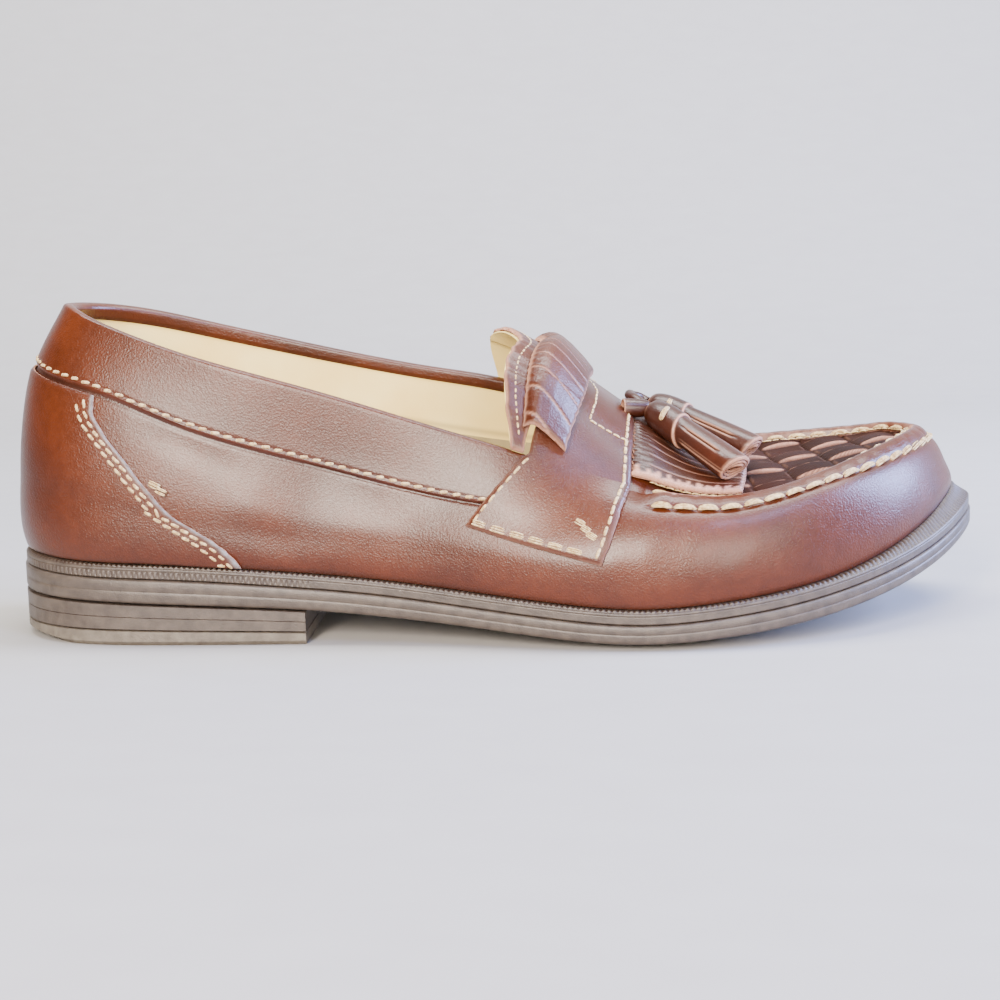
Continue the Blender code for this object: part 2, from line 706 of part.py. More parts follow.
def build_outsole(finish):
    """The moulded sole: tread with arch and toe spring, side, and a raised bed inside the welt."""
    ring = paired_turns(SOLE_COLUMNS)
    along = along_of(ring)
    low, top = tread_edge(along), top_edge(along)
    seat = top - WELT_HEIGHT

    def tread(point, share):
        place = point[0] / SOLE_LENGTH + 0.5
        crown = CROWN * smooth(0.34, 0.50, place) * (1.0 - smooth(0.80, 0.97, place))
        height = tread_edge(place) - crown * (1.0 - (2.0 * share - 1.0) ** 2)
        return max(0.0, float(height))

    def bed(point, share):
        return point[2]

    under = ring_points(ring, 2.2 * SOLE_BEVEL, low)
    under[:, 2] = tread_edge(under[:, 0] / SOLE_LENGTH + 0.5)
    rings = [
        under,
        ring_points(ring, 0.5 * SOLE_BEVEL, low + 0.35 * SOLE_BEVEL),
        ring_points(ring, 0.0, low + 1.3 * SOLE_BEVEL),
        ring_points(ring, 0.0, seat - 0.5 * SOLE_BEVEL),
        ring_points(ring, 0.4 * SOLE_BEVEL, seat),
        ring_points(ring, WELT_WIDTH, seat),
        ring_points(ring, WELT_WIDTH, top + ledge_rise(along) - GAP),
    ]
    points, faces = stacked_rings(rings, tread, bed)
    return solid("outsole", points, faces, finish)


def build_welt(finish):
    """The welt: a strip round the sole with a raised bead next to the upper."""
    ring = paired_turns(SOLE_COLUMNS)
    along = along_of(ring)
    top = top_edge(along)
    rise = ledge_rise(along)
    feather = read_curve(WALL_ROWS, ring)[:, 0] * BALL_WIDTH / 100.0
    bead = np.maximum(feather - BEAD_WIDTH, 0.9 * SOLE_BEVEL)
    base = top - WELT_HEIGHT + GAP
    profile = [
        (0.7 * SOLE_BEVEL, base),
        (0.4 * SOLE_BEVEL, base + 0.3 * SOLE_BEVEL),
        (0.4 * SOLE_BEVEL, top - 0.5 * SOLE_BEVEL),
        (0.75 * SOLE_BEVEL, top),
        (bead, top + 0.6 * rise),
        (feather, top + rise - 0.00002),
        (WELT_WIDTH - GAP, top + rise - 0.00002),
        (WELT_WIDTH - GAP, base),
    ]
    rings = [ring_points(ring, inward, height) for inward, height in profile]
    count = len(ring)
    faces = []
    for level in range(len(rings)):
        below, above = level * count, (level + 1) % len(rings) * count
        for place in range(count):
            after = (place + 1) % count
            faces.append((below + place, below + after, above + after, above + place))
    return solid("welt", np.concatenate(rings), faces, finish)


def heel_rings(profile):
    """Rings round the heel from breast to breast, as open stacks."""
    ends = float(turn_at(HEEL_BREAST, -1)), 2.0 - float(turn_at(HEEL_BREAST, 1))
    spread = np.linspace(1.0, 0.0, 15) ** 1.25
    ring = np.concatenate([spread[:-1] * ends[0], spread[::-1] * -ends[1]]) % 2.0
    along = along_of(ring)
    height = tread_edge(along) - GAP
    return ring, [ring_points(ring, inward, height * share + rise) for inward, share, rise in profile]


def open_stack(name, rings, finish):
    """A block closed by flat caps and a straight front face."""
    count = len(rings[0])
    faces = []
    for level in range(len(rings) - 1):
        base = level * count
        for place in range(count - 1):
            faces.append((base + place, base + place + 1, base + count + place + 1, base + count + place))
        faces.append((base + count - 1, base, base + count, base + 2 * count - 1))
    for base, flip in ((0, False), ((len(rings) - 1) * count, True)):
        for place in range(count // 2):
            face = [base + place, base + place + 1, base + count - 2 - place, base + count - 1 - place]
            face = [corner for spot, corner in enumerate(face) if corner not in face[:spot]]
            if len(face) > 2:
                faces.append(tuple(face) if flip else tuple(reversed(face)))
    return solid(name, np.concatenate(rings), faces, finish)


def build_heel(block_finish, lift_finish):
    """The heel: a block of two layers, and the top lift that stands on the floor."""
    line = LAYER_LINE_SHARE
    bevel = 0.4 * SOLE_BEVEL
    _, rings = heel_rings([
        (2.2 * SOLE_BEVEL, 1.0, 0.0),
        (bevel, 1.0, -bevel),
        (0.0, 1.0, -2.0 * bevel),
        (0.0, line, bevel),
        (GROOVE, line, 0.0),
        (0.0, line, -bevel),
        (0.0, TOP_LIFT_SHARE, bevel + GAP),
        (GROOVE, TOP_LIFT_SHARE, GAP),
    ])
    open_stack("heel_block", rings, block_finish)
    ring, rings = heel_rings([
        (GROOVE, TOP_LIFT_SHARE, 0.0),
        (0.0, TOP_LIFT_SHARE, -bevel),
        (0.0, 0.0, 2.6 * bevel),
        (2.0 * bevel, 0.0, 0.0),
    ])
    along = along_of(ring)
    worn = 1.0 - smooth(0.0, 0.075, along)
    edge, out = edge_frame(ring)
    rings[2][:, 2] += worn * 1.4 * SOLE_BEVEL
    rings[3][:, :2] -= out * (worn * 5.0 * SOLE_BEVEL)[:, None]
    rings[3][:, 2] = 0.0
    open_stack("heel_top_lift", rings, lift_finish)


def build_insole(finish):
    """The insole lies on the sole's bed inside the upper's wall."""
    ring = paired_turns(SOLE_COLUMNS)
    along = along_of(ring)
    bed = top_edge(along) + ledge_rise(along) + GAP
    foot = wall_point(ring, 0.0)
    higher = wall_point(ring, 0.30)
    _, out = edge_frame(ring)
    lean = np.maximum(0.0, -np.sum((higher - foot)[:, :2] * out, axis=1)) / (higher - foot)[:, 2]
    feather = read_curve(WALL_ROWS, ring)[:, 0] * BALL_WIDTH / 100.0
    clear = feather + WALL + 3.0 * GAP + lean * INSOLE_THICK
    inner = np.maximum(WELT_WIDTH, clear + 0.8 * INSOLE_THICK)

    def under(point, share):
        return point[2]

    def top(point, share):
        return point[2] - INSOLE_DISH * (1.0 - (2.0 * share - 1.0) ** 2)

    rings = [
        ring_points(ring, inner, bed),
        ring_points(ring, clear, bed),
        ring_points(ring, clear + lean * INSOLE_THICK, bed + INSOLE_THICK),
        ring_points(ring, inner + lean * INSOLE_THICK, bed + INSOLE_THICK),
    ]
    points, faces = stacked_rings(rings, under, top)
    return solid("insole", points, faces, finish)


def tassel_mesh(start, direction, side_axis):
    """A tassel: rounded cap, tied neck and a skirt of strips rolled round each other."""
    direction = direction / np.linalg.norm(direction)
    side_axis = side_axis - direction * np.dot(side_axis, direction)
    side_axis = side_axis / np.linalg.norm(side_axis)
    other = np.cross(direction, side_axis)
    # share of the length, radius as a share of the tassel's, depth of the slits between the strips
    profile = (
        (0.00, 0.42, 0.00),
        (0.05, 0.80, 0.00),
        (0.14, 1.00, 0.00),
        (0.27, 1.04, 0.00),
        (0.36, 0.94, 0.00),
        (0.39, 0.84, 0.00),
        (0.42, 0.92, 0.05),
        (0.60, 0.99, 0.11),
        (0.80, 1.03, 0.12),
        (1.00, 1.00, 0.13),
        (1.00, 0.55, 0.06),
        (0.965, 0.40, 0.04),
    )
    count = 24
    angles = np.arange(count) * 2.0 * math.pi / count
    slit = (np.arange(count) % 4 == 0).astype(float)
    points = []
    for along, radius, depth in profile:
        reach = TASSEL_RADIUS * radius * (1.0 - depth * slit)
        centre = start + direction * TASSEL_LENGTH * along
        for angle, size in zip(angles, reach):
            points.append(centre + (side_axis * math.cos(angle) + other * math.sin(angle)) * size)
    faces = []
    for row in range(len(profile) - 1):
        for place in range(count):
            after = (place + 1) % count
            faces.append((row * count + place, row * count + after,
                          (row + 1) * count + after, (row + 1) * count + place))
    for row, flip in ((0, True), (len(profile) - 1, False)):
        centre = len(points)
        points.append(start + direction * TASSEL_LENGTH * profile[row][0])
        for place in range(count):
            face = (row * count + place, row * count + (place + 1) % count, centre)
            faces.append(tuple(reversed(face)) if flip else face)
    return np.array(points), faces


def lace_tube(name, route, radius, finish):
    """A round lace through its points, with closed ends."""
    curve = bpy.data.curves.new(name, "CURVE")
    curve.dimensions = "3D"
    curve.bevel_depth = radius
    curve.bevel_resolution = 2
    curve.use_fill_caps = True
    reach = np.linalg.norm(np.diff(route, axis=0), axis=1)
    knots = np.concatenate([[0.0], np.cumsum(reach)])
    smooth_route = read_curve(open_curve(knots, route), np.linspace(0.0, knots[-1], 4 * len(route)))
    spline = curve.splines.new("POLY")
    spline.points.add(len(smooth_route) - 1)
    for spot, place in zip(spline.points, smooth_route):
        spot.co = (*place, 1.0)
    curve.materials.append(finish)
    body = bpy.data.objects.new(name, curve)
    COLLECTION.objects.link(body)
    return body


def vamp_place(along, side_share):
    """A point on the vamp's top, side_share -1 at its lateral rim, 0 on the centre line, 1 at its medial rim."""
    side = -1 if side_share <= 0 else 1
    level = 4.0 - abs(side_share)
    return upper_point(section_turn(along, side, level), level)


def build_tassels(finish):
    """Two tassels on one lace that comes out of the saddle's front edge."""
    layers = OVERLAY_GAP + FLAP_THICK + GAP
    up = np.array([0.0, 0.0, 1.0])
    heads = []
    for name, start, end, raised in (
            ("tassel_lateral", (0.660, -0.30), (0.735, -0.86), 1.26),
            ("tassel_medial", (0.662, -0.02), (0.750, -0.46), 1.35)):
        rest = layers + raised * TASSEL_RADIUS
        first = vamp_place(*start) + up * rest
        last = vamp_place(*end) + up * rest
        direction = (last - first) / np.linalg.norm(last - first)
        points, faces = tassel_mesh(first, direction, up)
        solid(name, points, faces, finish)
        heads.append((first, direction))
    (near, near_way), (far, far_way) = heads
    reach = 2.0 * GAP
    neck = 1.6 * LACE_RADIUS
    knot = 0.5 * (near + far) - (near_way + far_way) * 2.7 * LACE_RADIUS
    route = np.array([
        near - near_way * reach,
        near - near_way * (reach + neck),
        knot,
        far - far_way * (reach + neck),
        far - far_way * reach,
    ])
    lace_tube("tassel_lace", route, LACE_RADIUS, finish)


def build():
    global COLLECTION
    for thing in list(bpy.data.objects):
        bpy.data.objects.remove(thing, do_unlink=True)
    COLLECTION = bpy.data.collections.new("woven_tassel_loafer")
    bpy.context.scene.collection.children.link(COLLECTION)
    calf = material("chestnut_calf", (0.155, 0.042, 0.014), 0.32)
    edge_calf = material("tassel_calf", (0.120, 0.034, 0.013), 0.38)
    lining = material("cream_lining", (0.690, 0.560, 0.330), 0.60)
    rubber = material("sole_rubber", (0.095, 0.082, 0.075), 0.62)
    pale_rubber = material("top_lift_rubber", (0.200, 0.185, 0.165), 0.70)

    build_outsole(rubber)
    build_welt(rubber)
    build_heel(rubber, pale_rubber)
    build_insole(lining)
    build_upper(calf)
    build_counter(calf)
    build_overlay("saddle", SADDLE_EDGES, 5, OVERLAY_GAP, OVERLAY, calf)
    build_overlay("tongue", TONGUE_EDGES, 6, OVERLAY_GAP, TONGUE_THICK, calf)
    strap_low = OVERLAY_GAP + TONGUE_THICK + OVERLAY_GAP
    build_overlay("strap", STRAP_EDGES, 6, strap_low, STRAP_THICK, calf, arch=STRAP_ARCH)
    build_overlay("fringe_flap", FLAP_EDGES, 4, OVERLAY_GAP, FLAP_THICK, calf,
                  spacing=3 * FLAP_STRIPS + 1, ribs=FLAP_STRIPS)
    build_tassels(edge_calf)


build()
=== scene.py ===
# %% [markdown]
# # Woven tassel loafer
#
# This lesson dresses a plain model of one right shoe: a chestnut calf loafer with a hand-sewn ridge
# round a woven plug, a saddle with a fringed flap, and two tassels. The plain model gives every place
# and size. The script repeats the maker's tables, so a fine surface lies exactly where the plain one does.

# %% Load the plain model
import math

import bpy
import numpy as np
from mathutils import Euler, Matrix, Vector


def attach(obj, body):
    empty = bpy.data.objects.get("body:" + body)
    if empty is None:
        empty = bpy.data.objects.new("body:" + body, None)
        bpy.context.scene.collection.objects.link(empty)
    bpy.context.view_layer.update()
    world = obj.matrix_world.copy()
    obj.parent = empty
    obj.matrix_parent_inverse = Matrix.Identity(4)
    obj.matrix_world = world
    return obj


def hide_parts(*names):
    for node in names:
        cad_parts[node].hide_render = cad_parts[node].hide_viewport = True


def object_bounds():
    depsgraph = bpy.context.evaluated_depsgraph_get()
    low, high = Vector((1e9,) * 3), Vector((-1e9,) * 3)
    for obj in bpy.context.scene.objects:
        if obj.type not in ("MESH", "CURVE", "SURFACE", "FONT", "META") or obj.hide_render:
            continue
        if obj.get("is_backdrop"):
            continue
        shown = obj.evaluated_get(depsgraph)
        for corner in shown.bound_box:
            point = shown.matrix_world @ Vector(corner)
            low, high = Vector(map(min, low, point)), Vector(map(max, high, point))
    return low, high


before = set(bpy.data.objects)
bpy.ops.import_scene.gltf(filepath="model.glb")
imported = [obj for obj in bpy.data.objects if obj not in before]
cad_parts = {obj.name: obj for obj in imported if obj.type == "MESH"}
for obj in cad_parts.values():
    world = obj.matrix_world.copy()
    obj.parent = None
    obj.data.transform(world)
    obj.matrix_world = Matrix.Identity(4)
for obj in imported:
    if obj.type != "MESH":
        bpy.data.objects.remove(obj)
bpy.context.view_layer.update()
print("nodes", sorted(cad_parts))

# %% [markdown]
# ## Camera, light and floor
#
# The camera looks at the outer side of the shoe from just above it. A product picture of polished leather
# lives from soft reflections: a warm panel over the camera lays a broad glow on the quarter, bluish ones to
# the right and above are mirrored by the toe and the tongue, and another lights the paper behind. The sky
# fills the rest.

# %% Colour and node helpers
def linear(code):
    """A hex sRGB colour as linear RGBA."""
    shares = [int(code[place:place + 2], 16) / 255.0 for place in (1, 3, 5)]
    curved = [share / 12.92 if share <= 0.04045 else ((share + 0.055) / 1.055) ** 2.4 for share in shares]
    return (*curved, 1.0)


def node(tree, kind, values=(), **settings):
    """Adds a node; values maps a socket to a number, a colour or another node's output."""
    made = tree.nodes.new("ShaderNode" + kind)
    for key, value in settings.items():
        setattr(made, key, value)
    for socket, value in dict(values).items():
        if isinstance(value, bpy.types.NodeSocket):
            tree.links.new(value, made.inputs[socket])
        else:
            made.inputs[socket].default_value = value
    return made


# %% Camera
CAMERA_PLACE = (0.02005, -0.483, 0.1056)
CAMERA_TURN = (81.426, 1.483, 2.086)     # degrees
LENS_MM = 62.35                          # on a sensor 36 mm wide

camera_data = bpy.data.cameras.new("camera")
camera_data.lens = LENS_MM
camera_data.sensor_width = 36.0
camera = bpy.data.objects.new("camera", camera_data)
camera.location = CAMERA_PLACE
camera.rotation_euler = Euler([math.radians(angle) for angle in CAMERA_TURN], "XYZ")
bpy.context.scene.collection.objects.link(camera)
bpy.context.scene.camera = camera


# %% Lights and sky
def light_panel(name, place, aim, size, watts, colour):
    """A panel of light at a place, facing a point."""
    data = bpy.data.lights.new(name, "AREA")
    data.shape = "RECTANGLE"
    data.size, data.size_y = size
    data.energy = watts
    data.color = linear(colour)[:3]
    lamp = bpy.data.objects.new(name, data)
    lamp.location = place
    lamp.rotation_euler = (Vector(aim) - Vector(place)).to_track_quat("-Z", "Y").to_euler()
    bpy.context.scene.collection.objects.link(lamp)


light_panel("panel_over_camera", (-0.27, -1.00, 0.47), (0.0, 0.0, 0.04), (0.17, 0.46), 38.0, "#FFF1E2")
light_panel("panel_toe_side", (0.42, -0.98, 0.26), (0.06, 0.0, 0.03), (0.44, 0.40), 13.0, "#FFF1E4")
light_panel("panel_right", (0.92, 0.04, 0.44), (0.08, 0.0, 0.04), (0.46, 0.58), 62.0, "#A6BCFF")
light_panel("panel_behind", (0.0, 0.15, 1.30), (0.0, 0.9, 0.35), (1.6, 0.5), 78.0, "#FFFFFF")
light_panel("panel_above", (0.40, -0.50, 0.78), (0.02, 0.0, 0.06), (0.24, 0.24), 8.0, "#B4C4FF")

world = bpy.data.worlds.new("sky")
world.use_nodes = True
room = world.node_tree.nodes["Background"]
room.inputs["Color"].default_value = linear("#F1EFEC")
room.inputs["Strength"].default_value = 0.16
bpy.context.scene.world = world

# %% Floor
# A floor that curves up into a wall behind the shoe, as a roll of paper does.
PAPER_REACH = 3.0
PAPER_BEND = 0.45          # radius
BEND_START = 0.55
WALL_TOP = 2.4
bend = [(BEND_START + PAPER_BEND * math.sin(turn), PAPER_BEND - PAPER_BEND * math.cos(turn))
        for turn in np.linspace(0.0, 0.5 * math.pi, 25)]
rows = [(-PAPER_REACH, 0.0)] + bend + [(BEND_START + PAPER_BEND, WALL_TOP)]
floor_mesh = bpy.data.meshes.new("floor")
floor_mesh.from_pydata([(x, y, z - 0.0001) for y, z in rows for x in (-PAPER_REACH, PAPER_REACH)], [],
                       [(2 * row, 2 * row + 1, 2 * row + 3, 2 * row + 2) for row in range(len(rows) - 1)])
floor_mesh.shade_smooth()
floor = bpy.data.objects.new("floor", floor_mesh)
bpy.context.scene.collection.objects.link(floor)
floor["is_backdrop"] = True
paper = bpy.data.materials.new("floor_paper")
paper.use_nodes = True
fibres = node(paper.node_tree, "TexNoise", {"Scale": 300.0, "Detail": 2.0})
tone = node(paper.node_tree, "Mix", {0: fibres.outputs["Fac"], 6: linear("#918E8B"), 7: linear("#979592")},
            data_type="RGBA")
paper_shader = paper.node_tree.nodes["Principled BSDF"]
paper.node_tree.links.new(tone.outputs[2], paper_shader.inputs["Base Color"])
paper_shader.inputs["Roughness"].default_value = 0.9
floor_mesh.materials.append(paper)

# %% [markdown]
# ## Sizes and tables of the last
#
# A shoe is drawn over a last. The tables give the sole's outline and side, and four lines that run round
# the wall: where it meets the sole, its widest line, the long seam and the rim. They hold shares of four
# sizes, so that the same few numbers give the form at any fineness.

# %% Sizes
SOLE_LENGTH = 0.2685
BALL_WIDTH = 0.096
BACK_HEIGHT = 0.0912       # floor to the collar's top at the back
INSTEP_HEIGHT = 0.0775     # floor to the top of the vamp under the tongue
HEEL_RISE = 0.0220         # floor to the sole's top edge over the heel
WALL = 0.0020              # leather and lining together
OVERLAY = 0.0012           # saddle
COUNTER = 0.0009           # counter, skived thin
BAND_STEP = 0.0007         # the collar band stands this much proud of the quarter
RIDGE = 0.0026             # hand-sewn ridge round the plug
TONGUE_THICK = 0.0019
STRAP_THICK = 0.0018
STRAP_ARCH = 0.0030        # the strap's middle stands off the tongue by this
FLAP_THICK = 0.0013
WELT_HEIGHT = 0.0033
TASSEL_LENGTH = 0.034
TASSEL_RADIUS = 0.0043
LACE_RADIUS = 0.0014
GAP = 0.0003               # between pieces that touch
OVERLAY_GAP = 0.0005       # between curved layers
SOLE_BEVEL = 0.0010
CROWN = 0.0022             # the tread is lower in the middle than along its edge
GROOVE = 0.0005            # depth of the grooves in the heel's side
WELT_WIDTH = 0.0085
BEAD_WIDTH = 0.0014        # flat strip of the welt next to the upper
LEDGE_RISE = 0.0006        # the welt's top rises this much towards the upper
TOE_LEDGE_RISE = 0.0030    # the same, at the toe
WEAVE_PITCH = 0.0095       # one strip and its gap
WEAVE_RELIEF = 0.0009
HEEL_BREAST = 0.311        # share of the sole's length
TOP_LIFT_SHARE = 0.36      # lowest layer, share of the heel block's height
LAYER_LINE_SHARE = 0.70    # line between the other two layers
THROAT = 0.548             # where the opening ends, share of the sole's length
PLUG_END = 0.905           # end of the plug's centre line

# %% Tables
# Sole's outline. along: share of SOLE_LENGTH; lateral and medial: share of BALL_WIDTH.
OUTLINE = (
    # along, lateral, medial
    (0.000, 0.000, 0.000),
    (0.006, -0.106, 0.106),
    (0.026, -0.208, 0.208),
    (0.064, -0.288, 0.288),
    (0.115, -0.328, 0.326),
    (0.190, -0.346, 0.340),
    (0.270, -0.354, 0.334),
    (0.355, -0.362, 0.314),
    (0.455, -0.406, 0.322),
    (0.555, -0.470, 0.380),
    (0.645, -0.506, 0.448),
    (0.725, -0.494, 0.486),
    (0.830, -0.408, 0.488),
    (0.900, -0.297, 0.455),
    (0.952, -0.160, 0.385),
    (0.983, -0.030, 0.280),
    (1.000, 0.125, 0.125),
)

# Sole's side. along: share of SOLE_LENGTH; tread and top: share of HEEL_RISE.
SIDE = (
    # along, tread edge, top edge
    (0.000, 0.570, 1.050),
    (0.063, 0.545, 1.000),
    (0.190, 0.480, 0.935),
    (0.311, 0.405, 0.825),
    (0.400, 0.310, 0.720),
    (0.480, 0.215, 0.605),
    (0.560, 0.110, 0.500),
    (0.645, 0.060, 0.440),
    (0.711, 0.105, 0.490),
    (0.810, 0.255, 0.650),
    (0.880, 0.445, 0.845),
    (0.960, 0.790, 1.180),
    (1.000, 1.030, 1.410),
)

# The upper's wall, section by section round the shoe. along: share of SOLE_LENGTH.
# A column with _in is a distance in from the sole's edge, in hundredths of BALL_WIDTH;
# a column with _up is a height over the floor, in hundredths of BACK_HEIGHT.
LATERAL_WALL = (
    # along, feather_in, belly_in, belly_up, seam_in, seam_up, rim_in, rim_up
    (0.000, 2.6, 1.8, 50.0, 7.2, 82.6, 16.6, 100.0),
    (0.045, 2.5, 1.8, 48.0, 7.0, 79.0, 15.4, 98.6),
    (0.105, 2.2, 1.6, 44.0, 6.2, 74.6, 12.6, 94.0),
    (0.190, 1.9, 1.2, 38.0, 4.8, 64.6, 8.4, 85.6),
    (0.310, 2.1, 1.5, 33.0, 4.6, 53.6, 6.4, 75.2),
    (0.430, 2.1, 1.5, 29.5, 4.9, 44.0, 8.2, 63.6),
    (0.520, 2.1, 0.9, 25.0, 6.2, 40.0, 12.0, 54.8),
    (0.645, 2.1, 0.6, 22.0, 8.6, 39.6, 15.2, 42.4),
    (0.725, 2.2, 0.5, 23.0, 7.0, 38.4, 14.6, 38.8),
    (0.830, 2.7, 1.6, 29.0, 7.4, 43.6, 13.2, 43.0),
    (0.900, 3.4, 3.0, 35.0, 8.8, 47.6, 14.8, 48.4),
    (0.960, 4.6, 5.4, 41.0, 10.4, 50.4, 16.4, 51.8),
    (1.000, 5.6, 7.6, 44.0, 12.0, 51.6, 18.4, 52.6),
)
MEDIAL_WALL = (
    # along, feather_in, belly_in, belly_up, seam_in, seam_up, rim_in, rim_up
    (0.045, 2.5, 1.8, 48.0, 6.8, 79.6, 15.2, 99.4),
    (0.105, 2.2, 1.2, 45.0, 5.6, 76.0, 11.6, 97.6),
    (0.190, 1.9, 0.2, 41.0, 3.0, 70.0, 5.4, 91.6),
    (0.310, 2.1, -1.2, 38.0, 0.6, 63.4, 2.2, 83.0),
    (0.430, 2.1, -1.4, 37.0, 1.2, 57.0, 2.8, 75.6),
    (0.520, 2.1, -0.4, 34.0, 4.0, 52.6, 8.4, 69.8),
    (0.645, 2.1, 0.6, 28.0, 7.8, 49.2, 15.0, 52.6),
    (0.725, 2.2, 0.8, 28.0, 9.6, 47.6, 17.4, 48.0),
    (0.830, 2.8, 2.2, 31.0, 11.8, 49.0, 18.6, 49.0),
    (0.900, 3.6, 4.4, 36.0, 12.8, 50.4, 19.4, 50.6),
    (0.960, 4.8, 6.4, 41.0, 12.6, 51.4, 19.0, 52.2),
)

# The vamp's centre line. up: share of INSTEP_HEIGHT over the floor; side: share of BALL_WIDTH;
# fullness 1 is a straight roof, more is rounder.
CREST = (
    # along, side, up, fullness
    (0.440, 0.000, 1.130, 2.8),
    (0.522, 0.015, 1.000, 3.0),
    (0.590, 0.035, 0.845, 3.0),
    (0.640, 0.060, 0.715, 3.0),
    (0.675, 0.080, 0.625, 2.7),
    (0.705, 0.095, 0.570, 2.4),
    (0.745, 0.100, 0.538, 2.2),
    (0.800, 0.105, 0.540, 2.0),
    (0.860, 0.112, 0.575, 2.0),
    (0.905, 0.118, 0.604, 2.0),
)

# Edges of the layers that cross the shoe, from the lateral side over the vamp to the medial side.
# side: -1 lateral, 1 medial; a level counts 1 belly, 2 seam, 3 rim, 4 centre line; along is as above.
def both_sides(rows):
    """Rows of the lateral side and the centre line, and the same rows again down the medial side."""
    return tuple((-1, *row) for row in rows[:-1]) + tuple((1, *row) for row in reversed(rows))


SADDLE_EDGES = both_sides((
    # back level, back along, front level, front along
    (1.50, 0.474, 1.10, 0.604), (2.00, 0.492, 1.90, 0.624), (2.50, 0.514, 2.50, 0.630),
    (3.00, 0.536, 3.00, 0.634), (3.30, 0.556, 3.30, 0.637), (4.00, 0.578, 4.00, 0.642),
))
TONGUE_EDGES = (
    # side, back level, back along, front level, front along
    (-1, 2.96, 0.520, 2.96, 0.529), (-1, 3.16, 0.513, 3.16, 0.541), (-1, 3.40, 0.514, 3.40, 0.557),
    (-1, 3.70, 0.524, 3.70, 0.567), (1, 4.00, 0.520, 4.00, 0.574), (1, 3.62, 0.506, 3.62, 0.564),
    (1, 3.30, 0.492, 3.30, 0.550), (1, 2.96, 0.500, 2.96, 0.530),
)
STRAP_EDGES = both_sides((
    (3.01, 0.530, 2.98, 0.574), (3.30, 0.532, 3.30, 0.583), (3.65, 0.539, 3.65, 0.590),
    (4.00, 0.544, 4.00, 0.594),
))
FLAP_EDGES = both_sides((
    (3.07, 0.640, 3.07, 0.744), (3.35, 0.643, 3.35, 0.752), (3.70, 0.646, 3.70, 0.757),
    (4.00, 0.648, 4.00, 0.760),
))
# The counter's front edge, from the sole up to the band.
COUNTER_EDGE = (
    # level, edge along
    (0.10, 0.248),
    (0.60, 0.222),
    (1.00, 0.180),
    (1.50, 0.128),
    (1.80, 0.104),
    (1.93, 0.106),
)

# %% [markdown]
# ## The form as a function
#
# Every piece asks one function for its place: `upper_point(turn, level)`. The turn runs round the sole's
# edge, 0 at the heel's back, 1 at the toe and 2 at the heel again. The level climbs from the sole, 0, over
# the seam, 2, and the rim, 3, to the vamp's centre line, 4. Smooth curves run through the tables' rows.

# %% Curves
def smooth(low, high, value):
    """0 below low, 1 above high, with a soft step between."""
    share = np.clip((np.asarray(value, float) - low) / (high - low), 0.0, 1.0)
    return share * share * (3.0 - 2.0 * share)


def open_curve(knots, values):
    """A smooth curve through the values, straight beyond its ends."""
    knots = np.asarray(knots, float)
    values = np.asarray(values, float)
    count = len(knots)
    gaps = np.diff(knots)
    system = np.zeros((count, count))
    right = np.zeros((count,) + values.shape[1:])
    system[0, 0] = system[-1, -1] = 1.0
    slopes = np.diff(values, axis=0) / gaps.reshape((-1,) + (1,) * (values.ndim - 1))
    for row in range(1, count - 1):
        system[row, row - 1:row + 2] = gaps[row - 1], 2.0 * (gaps[row - 1] + gaps[row]), gaps[row]
        right[row] = 6.0 * (slopes[row] - slopes[row - 1])
    return knots, values, np.linalg.solve(system, right)


def closed_curve(knots, values, period):
    """A smooth closed curve: knots rise from 0 and stay below the period."""
    turns = [np.asarray(knots, float) + shift * period for shift in (-1, 0, 1)]
    stacked = np.concatenate(turns)
    return open_curve(stacked, np.concatenate([np.asarray(values, float)] * 3))


def read_curve(curve, where):
    """The curve's values at each place asked for."""
    knots, values, bends = curve
    where = np.asarray(where, float)
    inside = np.clip(where, knots[0], knots[-1])
    cell = np.clip(np.searchsorted(knots, inside, side="right") - 1, 0, len(knots) - 2)
    width = knots[cell + 1] - knots[cell]
    left = (knots[cell + 1] - inside) / width
    right = 1.0 - left
    shape = where.shape + (1,) * (values.ndim - 1)
    left, right, width = left.reshape(shape), right.reshape(shape), width.reshape(shape)
    result = left * values[cell] + right * values[cell + 1]
    bent = (left ** 3 - left) * bends[cell] + (right ** 3 - right) * bends[cell + 1]
    return result + bent * width ** 2 / 6.0


def column(table, index):
    return [row[index] for row in table]


def plan_point(along, side):
    """A point of the plan from shares of the sole's length and of the ball's width."""
    return ((along - 0.5) * SOLE_LENGTH, side * BALL_WIDTH)

# %% Edge of the sole
def outline_curve():
    """The sole's edge, parameter 0 at the heel's back, 1 at the toe's tip, up to 2 round the inner side."""
    lateral = np.array([plan_point(row[0], row[1]) for row in OUTLINE])
    medial = np.array([plan_point(row[0], row[2]) for row in OUTLINE])
    steps = [np.linalg.norm(np.diff(side, axis=0), axis=1) for side in (lateral, medial)]
    reach = np.concatenate([[0.0], np.cumsum(0.5 * (steps[0] + steps[1]))])
    reach /= reach[-1]
    knots = np.concatenate([reach, 2.0 - reach[-2:0:-1]])
    points = np.concatenate([lateral, medial[-2:0:-1]])
    return closed_curve(knots, points, 2.0)


EDGE = outline_curve()


def edge_frame(turn):
    """Plan points of the sole's edge and the plan directions that point out of it."""
    turn = np.asarray(turn, float) % 2.0
    step = 1e-4
    point = read_curve(EDGE, turn)
    along = read_curve(EDGE, turn + step) - read_curve(EDGE, turn - step)
    out = np.stack([along[..., 1], -along[..., 0]], axis=-1)
    return point, out / np.linalg.norm(out, axis=-1, keepdims=True)


def along_of(turn):
    """Share of the sole's length at a place on its edge."""
    return read_curve(EDGE, np.asarray(turn, float) % 2.0)[..., 0] / SOLE_LENGTH + 0.5


